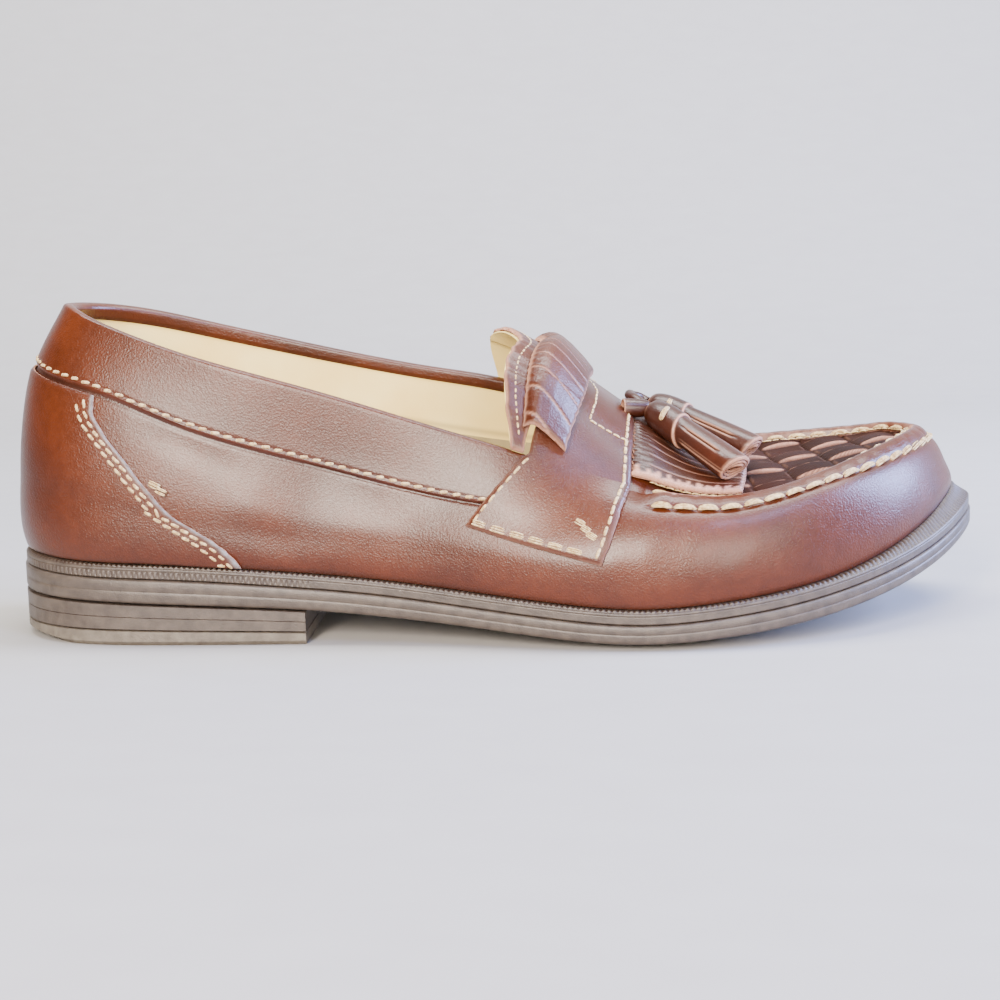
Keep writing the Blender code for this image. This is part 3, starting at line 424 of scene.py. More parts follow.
HALF_TURNS = np.linspace(0.0, 1.0, 801)
LATERAL_ALONG = np.maximum.accumulate(along_of(HALF_TURNS))
MEDIAL_ALONG = np.maximum.accumulate(along_of(2.0 - HALF_TURNS))


def turn_at(along, side):
    """The place on the sole's edge that has this share of the length, on the side asked for."""
    if side < 0:
        return np.interp(along, LATERAL_ALONG, HALF_TURNS)
    return 2.0 - np.interp(along, MEDIAL_ALONG, HALF_TURNS)

# %% Wall and vamp
def wall_curve():
    rows = [(float(turn_at(row[0], -1)), row[1:]) for row in LATERAL_WALL]
    rows[0] = (0.0, rows[0][1])
    rows[-1] = (1.0, rows[-1][1])
    rows += [(float(turn_at(row[0], 1)), row[1:]) for row in reversed(MEDIAL_WALL)]
    return closed_curve([row[0] for row in rows], [row[1] for row in rows], 2.0)


WALL_ROWS = wall_curve()
TREAD = open_curve(column(SIDE, 0), [(row[1] * HEEL_RISE, row[2] * HEEL_RISE) for row in SIDE])
CENTRE = open_curve(
    column(CREST, 0),
    [(row[1] * BALL_WIDTH, row[2] * INSTEP_HEIGHT, row[3]) for row in CREST])


def tread_edge(along):
    return read_curve(TREAD, along)[..., 0]


def top_edge(along):
    return read_curve(TREAD, along)[..., 1]


def ledge_rise(along):
    return LEDGE_RISE + (TOE_LEDGE_RISE - LEDGE_RISE) * smooth(0.82, 1.0, along)


def wall_anchors(turn):
    """Distances in from the edge and heights of the wall's four lines: feather, belly, seam, rim."""
    rows = read_curve(WALL_ROWS, np.asarray(turn, float) % 2.0)
    inward = rows[..., [0, 1, 3, 5]] * BALL_WIDTH / 100.0
    along = along_of(turn)
    foot = top_edge(along) + ledge_rise(along) + GAP
    heights = rows[..., [2, 4, 6]] * BACK_HEIGHT / 100.0
    return inward, np.concatenate([foot[..., None], heights], axis=-1)


def wall_point(turn, level):
    """A point of the wall, level 0 at the sole to 3 at the rim, on a smooth curve through its four lines."""
    turn, level = np.broadcast_arrays(np.asarray(turn, float), np.asarray(level, float))
    inward, height = wall_anchors(turn)
    line = np.stack([inward, height], axis=-1)
    tuck = line[..., :1, :] + np.array([0.016, -0.030]) * BALL_WIDTH
    beyond = 2.0 * line[..., 3:, :] - line[..., 2:3, :]
    line = np.concatenate([tuck, line, beyond], axis=-2)
    reach = np.linalg.norm(np.diff(line, axis=-2), axis=-1)[..., None]
    slope = np.diff(line, axis=-2) / reach
    speed = (slope[..., :-1, :] * reach[..., 1:, :] + slope[..., 1:, :] * reach[..., :-1, :])
    speed /= reach[..., 1:, :] + reach[..., :-1, :]
    cell = np.clip(level.astype(int), 0, 2)
    share = (np.clip(level, 0.0, 3.0) - cell)[..., None]
    pick = cell[..., None, None]

    def take(values, shift):
        return np.take_along_axis(values, pick + shift, axis=-2)[..., 0, :]

    start, end = take(line, 1), take(line, 2)
    span = take(reach, 1)
    leave, arrive = take(speed, 0), take(speed, 1)
    cube, square = share ** 3, share ** 2
    place = (2 * cube - 3 * square + 1) * start + (3 * square - 2 * cube) * end
    place = place + ((cube - 2 * square + share) * leave + (cube - square) * arrive) * span
    edge, out = edge_frame(turn)
    flat = edge - out * place[..., :1]
    return np.concatenate([flat, place[..., 1:]], axis=-1)


def crest_point(turn):
    """The point of the vamp's centre line that a section reaches, with its fullness."""
    turn = np.asarray(turn, float) % 2.0
    half = np.where(turn > 1.0, 2.0 - turn, turn)
    middle = 0.5 * (wall_point(half, 3.0)[..., 0] + wall_point(2.0 - half, 3.0)[..., 0])
    along = np.minimum(middle / SOLE_LENGTH + 0.5, PLUG_END)
    side = read_curve(CENTRE, along)
    return np.stack([(along - 0.5) * SOLE_LENGTH, side[..., 0], side[..., 1]], axis=-1), side[..., 2]


def upper_point(turn, level):
    """A point of the upper's form: level 0 to 3 up the wall, 3 to 4 over the vamp to its centre line."""
    turn, level = np.broadcast_arrays(np.asarray(turn, float), np.asarray(level, float))
    wall = wall_point(turn, np.minimum(level, 3.0))
    crest, fullness = crest_point(turn)
    share = np.clip(level - 3.0, 0.0, 1.0)
    top = wall + (crest - wall) * share[..., None]
    rise = 1.0 - (1.0 - share) ** fullness
    top[..., 2] = wall[..., 2] + (crest[..., 2] - wall[..., 2]) * rise
    return np.where((level > 3.0)[..., None], top, wall)

# %% [markdown]
# ## Finishes
#
# The shoe is drum-dyed, polished calf. Polish gives a soft broad gloss, and the skin's cells and the
# fine wrinkles break it up, so the grain is bump and the gloss a thin coat. Where the knife cut the hide,
# the pale pink fibre shows. Each mesh may carry a point colour, named paint: red marks a raw edge, green
# darkens a place and blue marks a rubbed one, so that wear lies where a hand or the floor makes it. Much
# of the green is painted shade, in joins, hollows, grooves and under laps; it also marks a burnished rim,
# scuffs and the lining's seam.

# %% Calf
MM = 0.001


def calf(name, pale, deep, gloss, cell_mm, relief, coat=0.25, flesh_tones=("#7C4B36", "#BC917A")):
    """Polished calf: two dye tones, skin cells of a real size, and the painted marks."""
    made = bpy.data.materials.new(name)
    made.use_nodes = True
    tree = made.node_tree
    shader = tree.nodes["Principled BSDF"]
    place = node(tree, "TexCoord").outputs["Object"]
    marks = node(tree, "Attribute", attribute_name="paint").outputs["Color"]
    split = node(tree, "SeparateColor", {"Color": marks})
    cloud = node(tree, "TexNoise", {"Vector": place, "Scale": 28.0, "Detail": 3.0, "Roughness": 0.55})
    tone = node(tree, "MapRange", {"Value": cloud.outputs["Fac"], "From Min": 0.36, "From Max": 0.66})
    dye = node(tree, "Mix", {0: tone.outputs[0], 6: linear(deep), 7: linear(pale)}, data_type="RGBA")
    mottle = node(tree, "TexNoise", {"Vector": place, "Scale": 420.0, "Detail": 3.0, "Roughness": 0.6})
    fleck = node(tree, "MapRange", {"Value": mottle.outputs["Fac"], "From Min": 0.30, "From Max": 0.72,
                                    "To Min": 0.86, "To Max": 1.12})
    mottled = node(tree, "Mix", {0: 1.0, 6: dye.outputs[2], 7: fleck.outputs[0]}, data_type="RGBA",
                   blend_type="MULTIPLY")
    # Green darkens the dye towards near black: painted shade where a mesh marks joins, hollows and laps, and
    # a burnished rim on the saddle.
    dark = node(tree, "Mix", {0: split.outputs["Green"], 6: mottled.outputs[2], 7: linear("#1E0F0A")},
                data_type="RGBA")
    rubbed = node(tree, "Mix", {0: split.outputs["Blue"], 6: dark.outputs[2], 7: linear("#D9B9A6")},
                  data_type="RGBA")
    fibre = node(tree, "TexNoise", {"Vector": place, "Scale": 1900.0, "Detail": 2.0, "Roughness": 0.7})
    flesh = node(tree, "Mix", {0: fibre.outputs["Fac"], 6: linear(flesh_tones[0]), 7: linear(flesh_tones[1])},
                 data_type="RGBA")
    final = node(tree, "Mix", {0: split.outputs["Red"], 6: rubbed.outputs[2], 7: flesh.outputs[2]},
                 data_type="RGBA")
    tree.links.new(final.outputs[2], shader.inputs["Base Color"])
    cells = node(tree, "TexVoronoi", {"Vector": place, "Scale": 1.0 / (cell_mm * MM), "Randomness": 1.0},
                 feature="SMOOTH_F1")
    wrinkle = node(tree, "TexNoise", {"Vector": place, "Scale": 0.7 / (cell_mm * MM), "Detail": 4.0,
                                      "Roughness": 0.6, "Distortion": 0.6})
    height = node(tree, "Math", {0: cells.outputs["Distance"], 1: wrinkle.outputs["Fac"]}, operation="ADD")
    fuzz = node(tree, "Mix", {0: split.outputs["Red"], 2: height.outputs[0], 3: fibre.outputs["Fac"]})
    bump = node(tree, "Bump", {"Height": fuzz.outputs[0], "Strength": relief, "Distance": 0.14 * MM})
    tree.links.new(bump.outputs["Normal"], shader.inputs["Normal"])
    sheen = node(tree, "MapRange", {"Value": mottle.outputs["Fac"], "To Min": gloss - 0.07,
                                    "To Max": gloss + 0.09})
    dull = node(tree, "Mix", {0: split.outputs["Red"], 2: sheen.outputs[0], 3: 0.95})
    tree.links.new(dull.outputs[0], shader.inputs["Roughness"])
    shader.inputs["IOR"].default_value = 1.40
    shader.inputs["Specular IOR Level"].default_value = 0.42 if coat else 0.10
    shader.inputs["Coat Weight"].default_value = coat
    shader.inputs["Coat Roughness"].default_value = 0.30
    return made


chestnut_calf = calf("chestnut_calf", "#4B1E05", "#391402", 0.36, 0.47, 0.70)
counter_calf = calf("counter_calf", "#4B1E05", "#391402", 0.36, 0.47, 0.70, 0.25, ("#55534F", "#A3A3A3"))
woven_calf = calf("woven_calf", "#2C140C", "#1F0D07", 0.66, 0.55, 0.50, 0.0)
tassel_calf = calf("tassel_calf", "#3D190A", "#2B1006", 0.34, 0.50, 0.35)


# %% Thread, raw edge, lining and rubber
def plain_finish(name, pale, deep, roughness, tone_mm, grain_mm, relief):
    """A dull finish: two tones in patches of one size and a fine grain of another, in millimetres."""
    made = bpy.data.materials.new(name)
    made.use_nodes = True
    tree = made.node_tree
    shader = tree.nodes["Principled BSDF"]
    place = node(tree, "TexCoord").outputs["Object"]
    patch = node(tree, "TexNoise", {"Vector": place, "Scale": 1.0 / (tone_mm * MM), "Detail": 3.0})
    tone = node(tree, "MapRange", {"Value": patch.outputs["Fac"], "From Min": 0.35, "From Max": 0.65})
    colour = node(tree, "Mix", {0: tone.outputs[0], 6: linear(deep), 7: linear(pale)}, data_type="RGBA")
    grain = node(tree, "TexNoise", {"Vector": place, "Scale": 1.0 / (grain_mm * MM), "Detail": 2.0,
                                    "Roughness": 0.7})
    marks = node(tree, "Attribute", attribute_name="paint").outputs["Color"]
    split = node(tree, "SeparateColor", {"Color": marks})
    # Green darkens towards near black: painted shade in the welt's notches and crevice and in the heel's
    # grooves, scuffs on the heel, and the lining's seam line.
    dark = node(tree, "Mix", {0: split.outputs["Green"], 6: colour.outputs[2], 7: linear("#2A1B14")},
                data_type="RGBA")
    tree.links.new(dark.outputs[2], shader.inputs["Base Color"])
    bump = node(tree, "Bump", {"Height": grain.outputs["Fac"], "Strength": relief, "Distance": 0.15 * MM})
    tree.links.new(bump.outputs["Normal"], shader.inputs["Normal"])
    shader.inputs["Roughness"].default_value = roughness
    return made


waxed_thread = plain_finish("waxed_thread", "#CFB88B", "#97774B", 0.75, 0.8, 0.25, 0.7)
raw_edge = plain_finish("raw_edge", "#BC917A", "#7C4B36", 0.95, 0.6, 0.25, 1.0)
cream_lining = plain_finish("cream_lining", "#E9D38A", "#E1C474", 0.6, 22.0, 0.6, 0.35)
# A darker greige for the inside below the lining's seam and for the insole.
sock_lining = plain_finish("sock_lining", "#AE9E76", "#93845E", 0.7, 14.0, 0.6, 0.4)
sole_rubber = plain_finish("sole_rubber", "#4B423A", "#3C342E", 0.45, 3.0, 0.45, 0.7)
lift_rubber = plain_finish("lift_rubber", "#665F54", "#544D44", 0.55, 3.0, 0.5, 0.8)

# %% [markdown]
# ## Mesh helpers
#
# Leather is sheet stock, so most pieces are two skins with a small gap between them, closed along their
# edges. The faces come from regular grids, and the directions out of a skin from the faces round a point.

# %% Mesh helpers
parts_shown = bpy.data.collections.new("loafer_dressed")
bpy.context.scene.collection.children.link(parts_shown)


def skin_normals(points, faces):
    """A direction out of each point, from the faces round it."""
    quads = np.array([face if len(face) == 4 else (*face, face[-1]) for face in faces])
    corners = points[quads]
    across = np.cross(corners[:, 2] - corners[:, 0], corners[:, 3] - corners[:, 1])
    total = np.zeros_like(points)
    for place in range(4):
        np.add.at(total, quads[:, place], across)
    return total / np.maximum(np.linalg.norm(total, axis=1, keepdims=True), 1e-12)


def volume_inside(points, faces):
    """Six times the volume, negative if the faces point in."""
    quads = np.array([face if len(face) == 4 else (*face, face[-1]) for face in faces])
    first, second, third, last = (points[quads[:, place]] for place in range(4))
    return np.sum(first * (np.cross(second, third) + np.cross(third, last)))


def make_piece(name, points, faces, finishes, stands_for=(), pick=None, paint=None, sharp=50):
    """One closed mesh in the finished shoe; pick gives each face its finish, paint each point its marks."""
    points = np.asarray(points, float)
    if volume_inside(points, faces) < 0:
        faces = [tuple(reversed(face)) for face in faces]
    mesh = bpy.data.meshes.new(name)
    mesh.from_pydata(points.tolist(), [], faces)
    for finish in finishes:
        mesh.materials.append(finish)
    if pick is not None:
        mesh.polygons.foreach_set("material_index", np.asarray(pick, np.int32))
    marks = np.zeros((len(points), 4))
    marks[:, 3] = 1.0
    if paint is not None:
        marks[:, :3] = np.clip(paint, 0.0, 1.0)
    layer = mesh.color_attributes.new("paint", "FLOAT_COLOR", "POINT")
    layer.data.foreach_set("color", marks.ravel())
    mesh.shade_smooth()
    mesh.set_sharp_from_angle(angle=math.radians(sharp))
    thing = bpy.data.objects.new(name, mesh)
    parts_shown.objects.link(thing)
    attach(thing, "root")
    if stands_for:
        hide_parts(*stands_for)
    print(name, len(faces), "faces")
    return thing


def two_skins(outer, inner, faces):
    """The points and faces of a sheet, closed along its open edges: outer, inner, then edge faces."""
    count = len(outer)
    edges = set()
    for face in faces:
        for first, second in zip(face, face[1:] + face[:1]):
            edges.add((first, second))
    rim = [(a, b) for (a, b) in sorted(edges) if (b, a) not in edges]
    back = [tuple(index + count for index in reversed(face)) for face in faces]
    side = [(b, a, a + count, b + count) for a, b in rim]
    pick = [0] * len(faces) + [1] * len(back) + [2] * len(side)
    return np.concatenate([outer, inner]), list(faces) + back + side, np.array(pick)


def grid_faces(rows, columns):
    corners = [row * columns + place for row in range(rows - 1) for place in range(columns - 1)]
    return [(corner, corner + 1, corner + columns + 1, corner + columns) for corner in corners]


def ring_faces(levels, count):
    """Faces between closed rings of points."""
    faces = []
    for base in range(0, (levels - 1) * count, count):
        for place in range(count):
            after = (place + 1) % count
            faces.append((base + place, base + after, base + count + after, base + count + place))
    return faces


def end_fans(levels, count):
    """Triangles that close the first and the last ring, to two centres that follow the rings."""
    faces = []
    for end, base in enumerate((0, (levels - 1) * count)):
        for place in range(count):
            face = (base + place, base + (place + 1) % count, levels * count + end)
            faces.append(face if end else tuple(reversed(face)))
    return faces


def as_paint(raw, dark=0.0):
    """Point colours from a raw edge and a dark place."""
    return np.stack([raw, dark + 0.0 * raw, 0.0 * raw], axis=1)


def section_turn(along, side, level):
    """The section whose point at this level has the share of the length asked for, side -1 or 1."""
    along, side, level = np.broadcast_arrays(np.asarray(along, float), side, level)
    low, high = np.zeros(along.shape), np.ones(along.shape)
    for _ in range(26):
        middle = 0.5 * (low + high)
        turn = np.where(side < 0, middle, 2.0 - middle)
        short = upper_point(turn, level)[..., 0] / SOLE_LENGTH + 0.5 < along
        low, high = np.where(short, middle, low), np.where(short, high, middle)
    middle = 0.5 * (low + high)
    return np.where(side < 0, middle, 2.0 - middle)


def form_normal(turn, level):
    """The direction out of the form at a place."""
    step = 1e-3
    below, above = np.maximum(level - step, 0.0), np.minimum(level + step, 4.0)
    across = upper_point(turn + step, level) - upper_point(turn - step, level)
    up = upper_point(turn, above) - upper_point(turn, below)
    out = np.cross(across, up)
    return out / np.maximum(np.linalg.norm(out, axis=-1, keepdims=True), 1e-12)


def along_at(points):
    return points[..., 0] / SOLE_LENGTH + 0.5


# %% [markdown]
# ## Low relief of the upper
#
# Some of the shoe's character is in steps of a millimetre: the collar band laps over the quarter, the
# apron and the vamp stand up in a ridge where a hand sewed them together, and each stitch pulls the leather
# in. Walking adds soft troughs with a low swell beside them. All of it is one function, the lift over the
# form, so that the stitches and the layers on top can ask for the same surface.

# %% Lift over the form
HAND_PITCH_MM = 6.2         # hand stitches round the ridge
HAND_PITCH = HAND_PITCH_MM * MM
SEAM_START = 0.652          # share of the sole's length
RIDGE_PROFILE = (
    # level, share of the ridge's height
    (2.02, 0.00), (2.10, 0.10), (2.26, 0.48), (2.48, 0.84), (2.68, 1.00), (2.84, 0.98), (2.92, 0.80),
    (2.965, 0.30), (3.00, 0.00),
)
CREASES = (
    # side, along and level of one end, of the other, width mm, depth mm
    (-1, 0.655, 0.62, 0.690, 1.72, 3.8, 0.20),
    (-1, 0.618, 0.45, 0.640, 1.10, 3.6, 0.15),
    (-1, 0.700, 0.80, 0.742, 1.80, 4.0, 0.16),
    (-1, 0.440, 1.30, 0.330, 1.52, 4.6, 0.18),
    (-1, 0.225, 0.95, 0.310, 0.66, 3.6, 0.22),
    (-1, 0.150, 1.78, 0.255, 1.62, 2.8, 0.12),
    (1, 0.650, 0.60, 0.685, 1.75, 3.2, 0.50),
    (1, 0.610, 0.50, 0.640, 1.55, 3.2, 0.45),
    (1, 0.700, 0.70, 0.735, 1.80, 3.4, 0.45),
    (1, 0.420, 1.20, 0.310, 1.50, 4.5, 0.50),
)

seam_ends = section_turn(SEAM_START, np.array([-1, 1]), 2.0)
seam_turns = np.linspace(seam_ends[0], seam_ends[1], 900)
seam_points = upper_point(seam_turns, 2.0)
seam_reach = np.concatenate([[0.0], np.cumsum(np.linalg.norm(np.diff(seam_points, axis=0), axis=1))])
print("hand-sewn seam", round(seam_reach[-1] / MM), "mm")


def ridge_lift(along, level):
    share = np.interp(level, column(RIDGE_PROFILE, 0), column(RIDGE_PROFILE, 1), left=0.0, right=0.0)
    return RIDGE * share * smooth(0.640, 0.668, along)


def pucker(turn, level, along):
    """The leather is drawn in where a hand stitch enters it and swells between the holes."""
    phase = np.interp(turn % 2.0, seam_turns, seam_reach) / HAND_PITCH
    hole = np.cos(math.pi * phase) ** 8
    front = smooth(0.645, 0.66, along)
    base = np.exp(-((level - 2.05) / 0.07) ** 2)
    crown = np.exp(-((level - 2.45) / 0.25) ** 2)
    return front * (-0.55 * MM * hole * base - 0.30 * MM * hole * crown - 0.12 * MM * base)


def crease_lift(points, turn):
    """Soft troughs from walking, each with a low swell on both sides."""
    total = np.zeros(len(points))
    medial = (turn % 2.0) > 1.0
    for side, along_a, level_a, along_b, level_b, width, depth in CREASES:
        share = np.linspace(0.0, 1.0, 25)
        level = level_a + (level_b - level_a) * share + 0.06 * np.sin(math.pi * share)
        line = upper_point(section_turn(along_a + (along_b - along_a) * share, side, level), level)
        near = np.nonzero((medial == (side > 0)) & (np.abs(points[:, 0] - line[:, 0].mean()) < 0.05))[0]
        gaps = np.linalg.norm(points[near][:, None] - line[None], axis=2)
        best = gaps.argmin(axis=1)
        reach = gaps.min(axis=1) / (width * MM)
        fade = np.sin(math.pi * np.clip(share[best], 0.04, 0.96)) ** 0.7
        total[near] += depth * MM * fade * (0.45 * np.exp(-(reach - 1.7) ** 2 / 0.6) - np.exp(-reach ** 2))
    return total


def swell(points):
    """The slow unevenness of worn leather."""
    x, y, z = points[:, 0] / MM, points[:, 1] / MM, points[:, 2] / MM
    wave = np.sin(0.11 * x + 0.07 * z + 1.3) * np.sin(0.13 * z - 0.05 * x + 0.4)
    return 0.11 * MM * (wave + 0.6 * np.sin(0.21 * x - 0.17 * z + 0.12 * y))


def band_lift(along, level):
    """The collar band laps over the quarter; just under its edge the quarter is pressed in."""
    back = 1.0 - smooth(0.50, 0.56, along)
    step = BAND_STEP * smooth(1.985, 2.01, level) * (level <= 3.0)
    press = -0.25 * MM * np.exp(-((level - 1.965) / 0.03) ** 2)
    row = -0.20 * MM * np.exp(-((level - BAND_ROW) / 0.025) ** 2)
    return back * (step + press + row)


BAND_ROW = 2.062            # level of the band's row of stitches


def skin_lift(points, turn, level):
    """Everything that the upper's skin stands over its form."""
    along = along_at(points)
    return ridge_lift(along, level) + band_lift(along, level) + pucker(turn, level, along)


def bridged_lift(points, turn, level):
    """The same for a stiff layer, which bridges the step under it."""
    along = along_at(points)
    band = BAND_STEP * smooth(1.45, 2.0, level) * (1.0 - smooth(0.50, 0.60, along))
    return ridge_lift(along, level) + band * (level <= 3.3)


# %% [markdown]
# ## Upper
#
# The upper is one wall of leather and lining. The fine mesh has the same layout as the plain one, with
# more sections and levels, closer together along the seams. Near the collar's rim the two skins meet in a
# half circle, as a folded edge does. The inside shows the fold, the cream lining and, below its seam, a
# darker greige lining.

# %% Fine layout
BACK_COLUMNS = 86
FRONT_COLUMNS = 132
THROAT_TURN = float(np.interp(THROAT, LATERAL_ALONG, HALF_TURNS))
fine_turns = np.concatenate([np.linspace(0.0, THROAT_TURN, BACK_COLUMNS),
                             np.linspace(THROAT_TURN, 1.0, FRONT_COLUMNS)[1:]])
fine_levels = np.unique(np.round(np.concatenate([
    np.linspace(0.0, 1.88, 24), np.linspace(1.90, 2.20, 16), np.linspace(2.2, 2.94, 18),
    2.94 + 0.06 * np.sin(np.linspace(0.0, 0.5 * math.pi, 7))]), 5))
apron_levels = np.linspace(3.0, 4.0, 15)[1:]


def upper_layout(turns, throat, wall_levels, top_levels):
    """One sheet: wall sections all round, and vamp sections in front of the throat."""
    half = len(turns) - 1
    ring = np.concatenate([turns, 2.0 - turns[-2:0:-1]])
    count, last = len(ring), len(wall_levels) - 1
    places = list(np.tile(ring, len(wall_levels)))
    levels = list(np.repeat(wall_levels, count))
    faces = ring_faces(len(wall_levels), count)
    index, pole = {}, None
    for step in range(throat, half + 1):
        crest, _ = crest_point(np.array(turns[step]))
        at_pole = crest[0] >= (PLUG_END - 0.5) * SOLE_LENGTH - 1e-6
        for side in (-1, 1):
            place = step if side < 0 else (count - step) % count
            index[side, 0, step] = last * count + place
            for row, level in enumerate(top_levels[:-1], start=1):
                if step == half and side > 0:
                    index[side, row, step] = index[-1, row, step]
                    continue
                index[side, row, step] = len(places)
                places.append(ring[place])
                levels.append(level)
        if not (at_pole and pole is not None):
            places.append(turns[step])
            levels.append(4.0)
            if at_pole:
                pole = len(places) - 1
        row = len(top_levels)
        index[-1, row, step] = index[1, row, step] = pole if at_pole else len(places) - 1
    for step in range(throat, half):
        for side in (-1, 1):
            for row in range(len(top_levels)):
                face = [index[side, row, step], index[side, row, step + 1],
                        index[side, row + 1, step + 1], index[side, row + 1, step]]
                face = tuple(dict.fromkeys(face))
                faces.append(face if side < 0 else face[::-1])
    return np.array(places), np.array(levels), faces


# %% Upper's skins
turns, levels, faces = upper_layout(fine_turns, BACK_COLUMNS - 1, fine_levels, apron_levels)
form = upper_point(turns, levels)
out = skin_normals(form, faces)
along = along_at(form)
noise = np.random.default_rng(7)
collar = (1.0 - smooth(THROAT - 0.004, THROAT + 0.004, along)) * (levels <= 3.0)
roll = np.clip((levels - 2.94) / 0.06, 0.0, 1.0) * collar
close = 1.0 - np.sqrt(np.clip(1.0 - roll ** 2, 0.0, 1.0))
lift = skin_lift(form, turns, levels) + crease_lift(form, turns)
lift = lift + swell(form) * smooth(0.1, 0.6, levels) * (levels < 2.0)
under_apron = -0.0007 * smooth(3.0, 3.05, levels) * smooth(0.66, 0.68, along)
FOLD_THICK = 0.0009        # the rim's leather, folded over to the inside
fold = FOLD_THICK * smooth(2.76, 2.80, levels) * collar
half_wall = 0.5 * (WALL + fold + lift)
outer = form + out * (lift + under_apron - half_wall * close)[:, None]
inner = form - out * (WALL + fold - half_wall * close)[:, None]
points, all_faces, pick = two_skins(outer, inner, faces)

ragged = np.interp(turns % 2.0, seam_turns, seam_reach) / (seam_reach[-1] * MM)
ragged = 0.035 * np.sin(9.0 * seam_reach[-1] * ragged)
ragged = ragged + 0.03 * noise.standard_normal(len(form))
wide = 1.0 - smooth(0.74, 0.80, along)
raw = smooth(2.80 - 0.10 * wide, 2.86 - 0.10 * wide, levels + ragged)
raw = raw * (levels <= 3.0) * smooth(0.655, 0.668, along)
worn = 0.55 + 0.45 * np.sin(0.9 * form[:, 0] / MM) * np.sin(1.7 * form[:, 0] / MM + 0.6)
raw = raw * np.where(turns % 2.0 < 1.0, np.maximum(wide, worn), 0.35 * worn)
# Painted shade: a dark line just under the collar band's edge, its shadow on the quarter; darker along the
# foot of the wall, in the join with the welt; darker on the vamp under the woven apron. The back of the heel
# is also a little darker.
band_edge_shadow = 0.65 * np.exp(-((levels - 1.968) / 0.022) ** 2) * (1.0 - smooth(0.50, 0.56, along))
painted_shade_and_dark_heel = 0.55 * (1.0 - smooth(0.02, 0.16, levels)) + band_edge_shadow
painted_shade_and_dark_heel = painted_shade_and_dark_heel + 0.20 * (1.0 - smooth(0.02, 0.16, along)) * (levels < 2.0)
painted_shade_and_dark_heel = painted_shade_and_dark_heel + 0.5 * smooth(2.99, 3.03, levels) * smooth(0.64, 0.66, along)
paint = as_paint(raw, painted_shade_and_dark_heel)
inside_paint = as_paint(np.zeros(len(form)), 0.35 * np.exp(-((levels - 2.0) / 0.05) ** 2))

face_level = np.array([levels[list(face)].mean() for face in faces])
face_along = np.array([along[list(face)].mean() for face in faces])
folded = (face_level > 2.78) & (face_level < 3.0) & (face_along < THROAT)
inside = np.where(folded, 0, np.where(face_level < 1.9, 2, 1))
pick = np.concatenate([np.zeros(len(faces), int), inside, np.zeros(len(all_faces) - 2 * len(faces), int)])
make_piece("upper_shell", points, all_faces, [chestnut_calf, cream_lining, sock_lining],
           ("upper",), pick, np.concatenate([paint, inside_paint]))

# %% [markdown]
# ## Woven apron
#
# Slits are cut in the apron and strips are passed over and under, so each strip bows up where it is on
# top, and its cut edge shows as a pale crescent. The grid of cells is worked out from one pitch; the height
# in a cell is a bow along the strip with a drop at its two edges.

# %% Woven apron
WEAVE_TURN = float(section_turn(0.700, -1, 3.0))
APRON_THICK = 0.0007


def weave(points):
    """Height of the strips, and how much of a cut edge shows, at each point."""
    u = (points[:, 0] + 0.10 * points[:, 1]) / (1.25 * WEAVE_PITCH) + 0.36
    v = (points[:, 1] - 0.16 * (points[:, 0] - 0.05)) / (1.15 * WEAVE_PITCH) + 0.30
    over = (np.floor(u) + np.floor(v)) % 2.0 > 0.5
    cell_u, cell_v = 2.0 * (u % 1.0) - 1.0, 2.0 * (v % 1.0) - 1.0
    run = np.where(over, cell_u, cell_v)
    cross = np.where(over, cell_v, cell_u)
    bow = np.maximum(np.cos(0.5 * math.pi * run), 0.0) ** 0.7 * np.where(over, 1.0, 0.30)
    edge = 1.0 - smooth(0.83, 0.95, np.abs(cross))
    height = bow * edge * 1.35 - 0.20 * (1.0 - edge)
    cut = np.exp(-((np.abs(cross) - 0.86) / 0.045) ** 2) * smooth(0.12, 0.5, bow) * np.where(over, 1.0, 0.4)
    return height, cut


apron_turns = np.linspace(WEAVE_TURN, 1.0, 210)
half_girth = np.linspace(2.975, 4.0, 92)
girth = np.concatenate([half_girth, 8.0 - half_girth[-2::-1]])
place = np.tile(apron_turns, len(girth))
rows = np.repeat(girth, len(apron_turns))
sheet_levels = np.where(rows <= 4.0, rows, 8.0 - rows)
sheet_turns = np.where(rows <= 4.0, place, 2.0 - place)
sheet = upper_point(sheet_turns, sheet_levels)
sheet_faces = grid_faces(len(girth), len(apron_turns))
UP = np.array([0.0, 0.0, 1.0])
height, cut = weave(sheet)
calm = smooth(2.99, 3.07, sheet_levels)
sheet = sheet + UP * (WEAVE_RELIEF * height * calm - 0.0002)[:, None]
# Red is the strips' pale cut edge; green is painted shade in the low places between the strips.
paint = as_paint(0.85 * cut * calm, 0.5 * (1.0 - smooth(-0.3, 0.25, height)) * calm)
points, all_faces, pick = two_skins(sheet, sheet - UP * APRON_THICK, sheet_faces)
make_piece("woven_apron", points, all_faces, [woven_calf], ("upper",), None,
           np.concatenate([paint, paint]))

# %% [markdown]
# ## Layers on the upper
#
# The counter, saddle, tongue, strap and fringed flap are cut from the same calf and lie on the upper. Each
# one is a sheet between a back edge and a front edge, read off the maker's tables on a fine grid. The knife
# leaves a pale, slightly ragged edge, so the rim of each sheet is rounded over and its side is raw.

# %% Sheets between two edges
def girth_of(side, level):
    """Levels counted on from the lateral side over the centre line, 4, and down the medial side."""
    return level if side < 0 else 8.0 - level


def edge_lines(edges, across):
    """The back edge, the front edge and the front edge's girth at each girth of the back edge."""
    knots = np.array([girth_of(row[0], row[1]) for row in edges])
    backs, fronts = (read_curve(open_curve(knots, column(edges, index)), across) for index in (2, 4))
    return backs, fronts, np.interp(across, knots, [girth_of(row[0], row[3]) for row in edges])


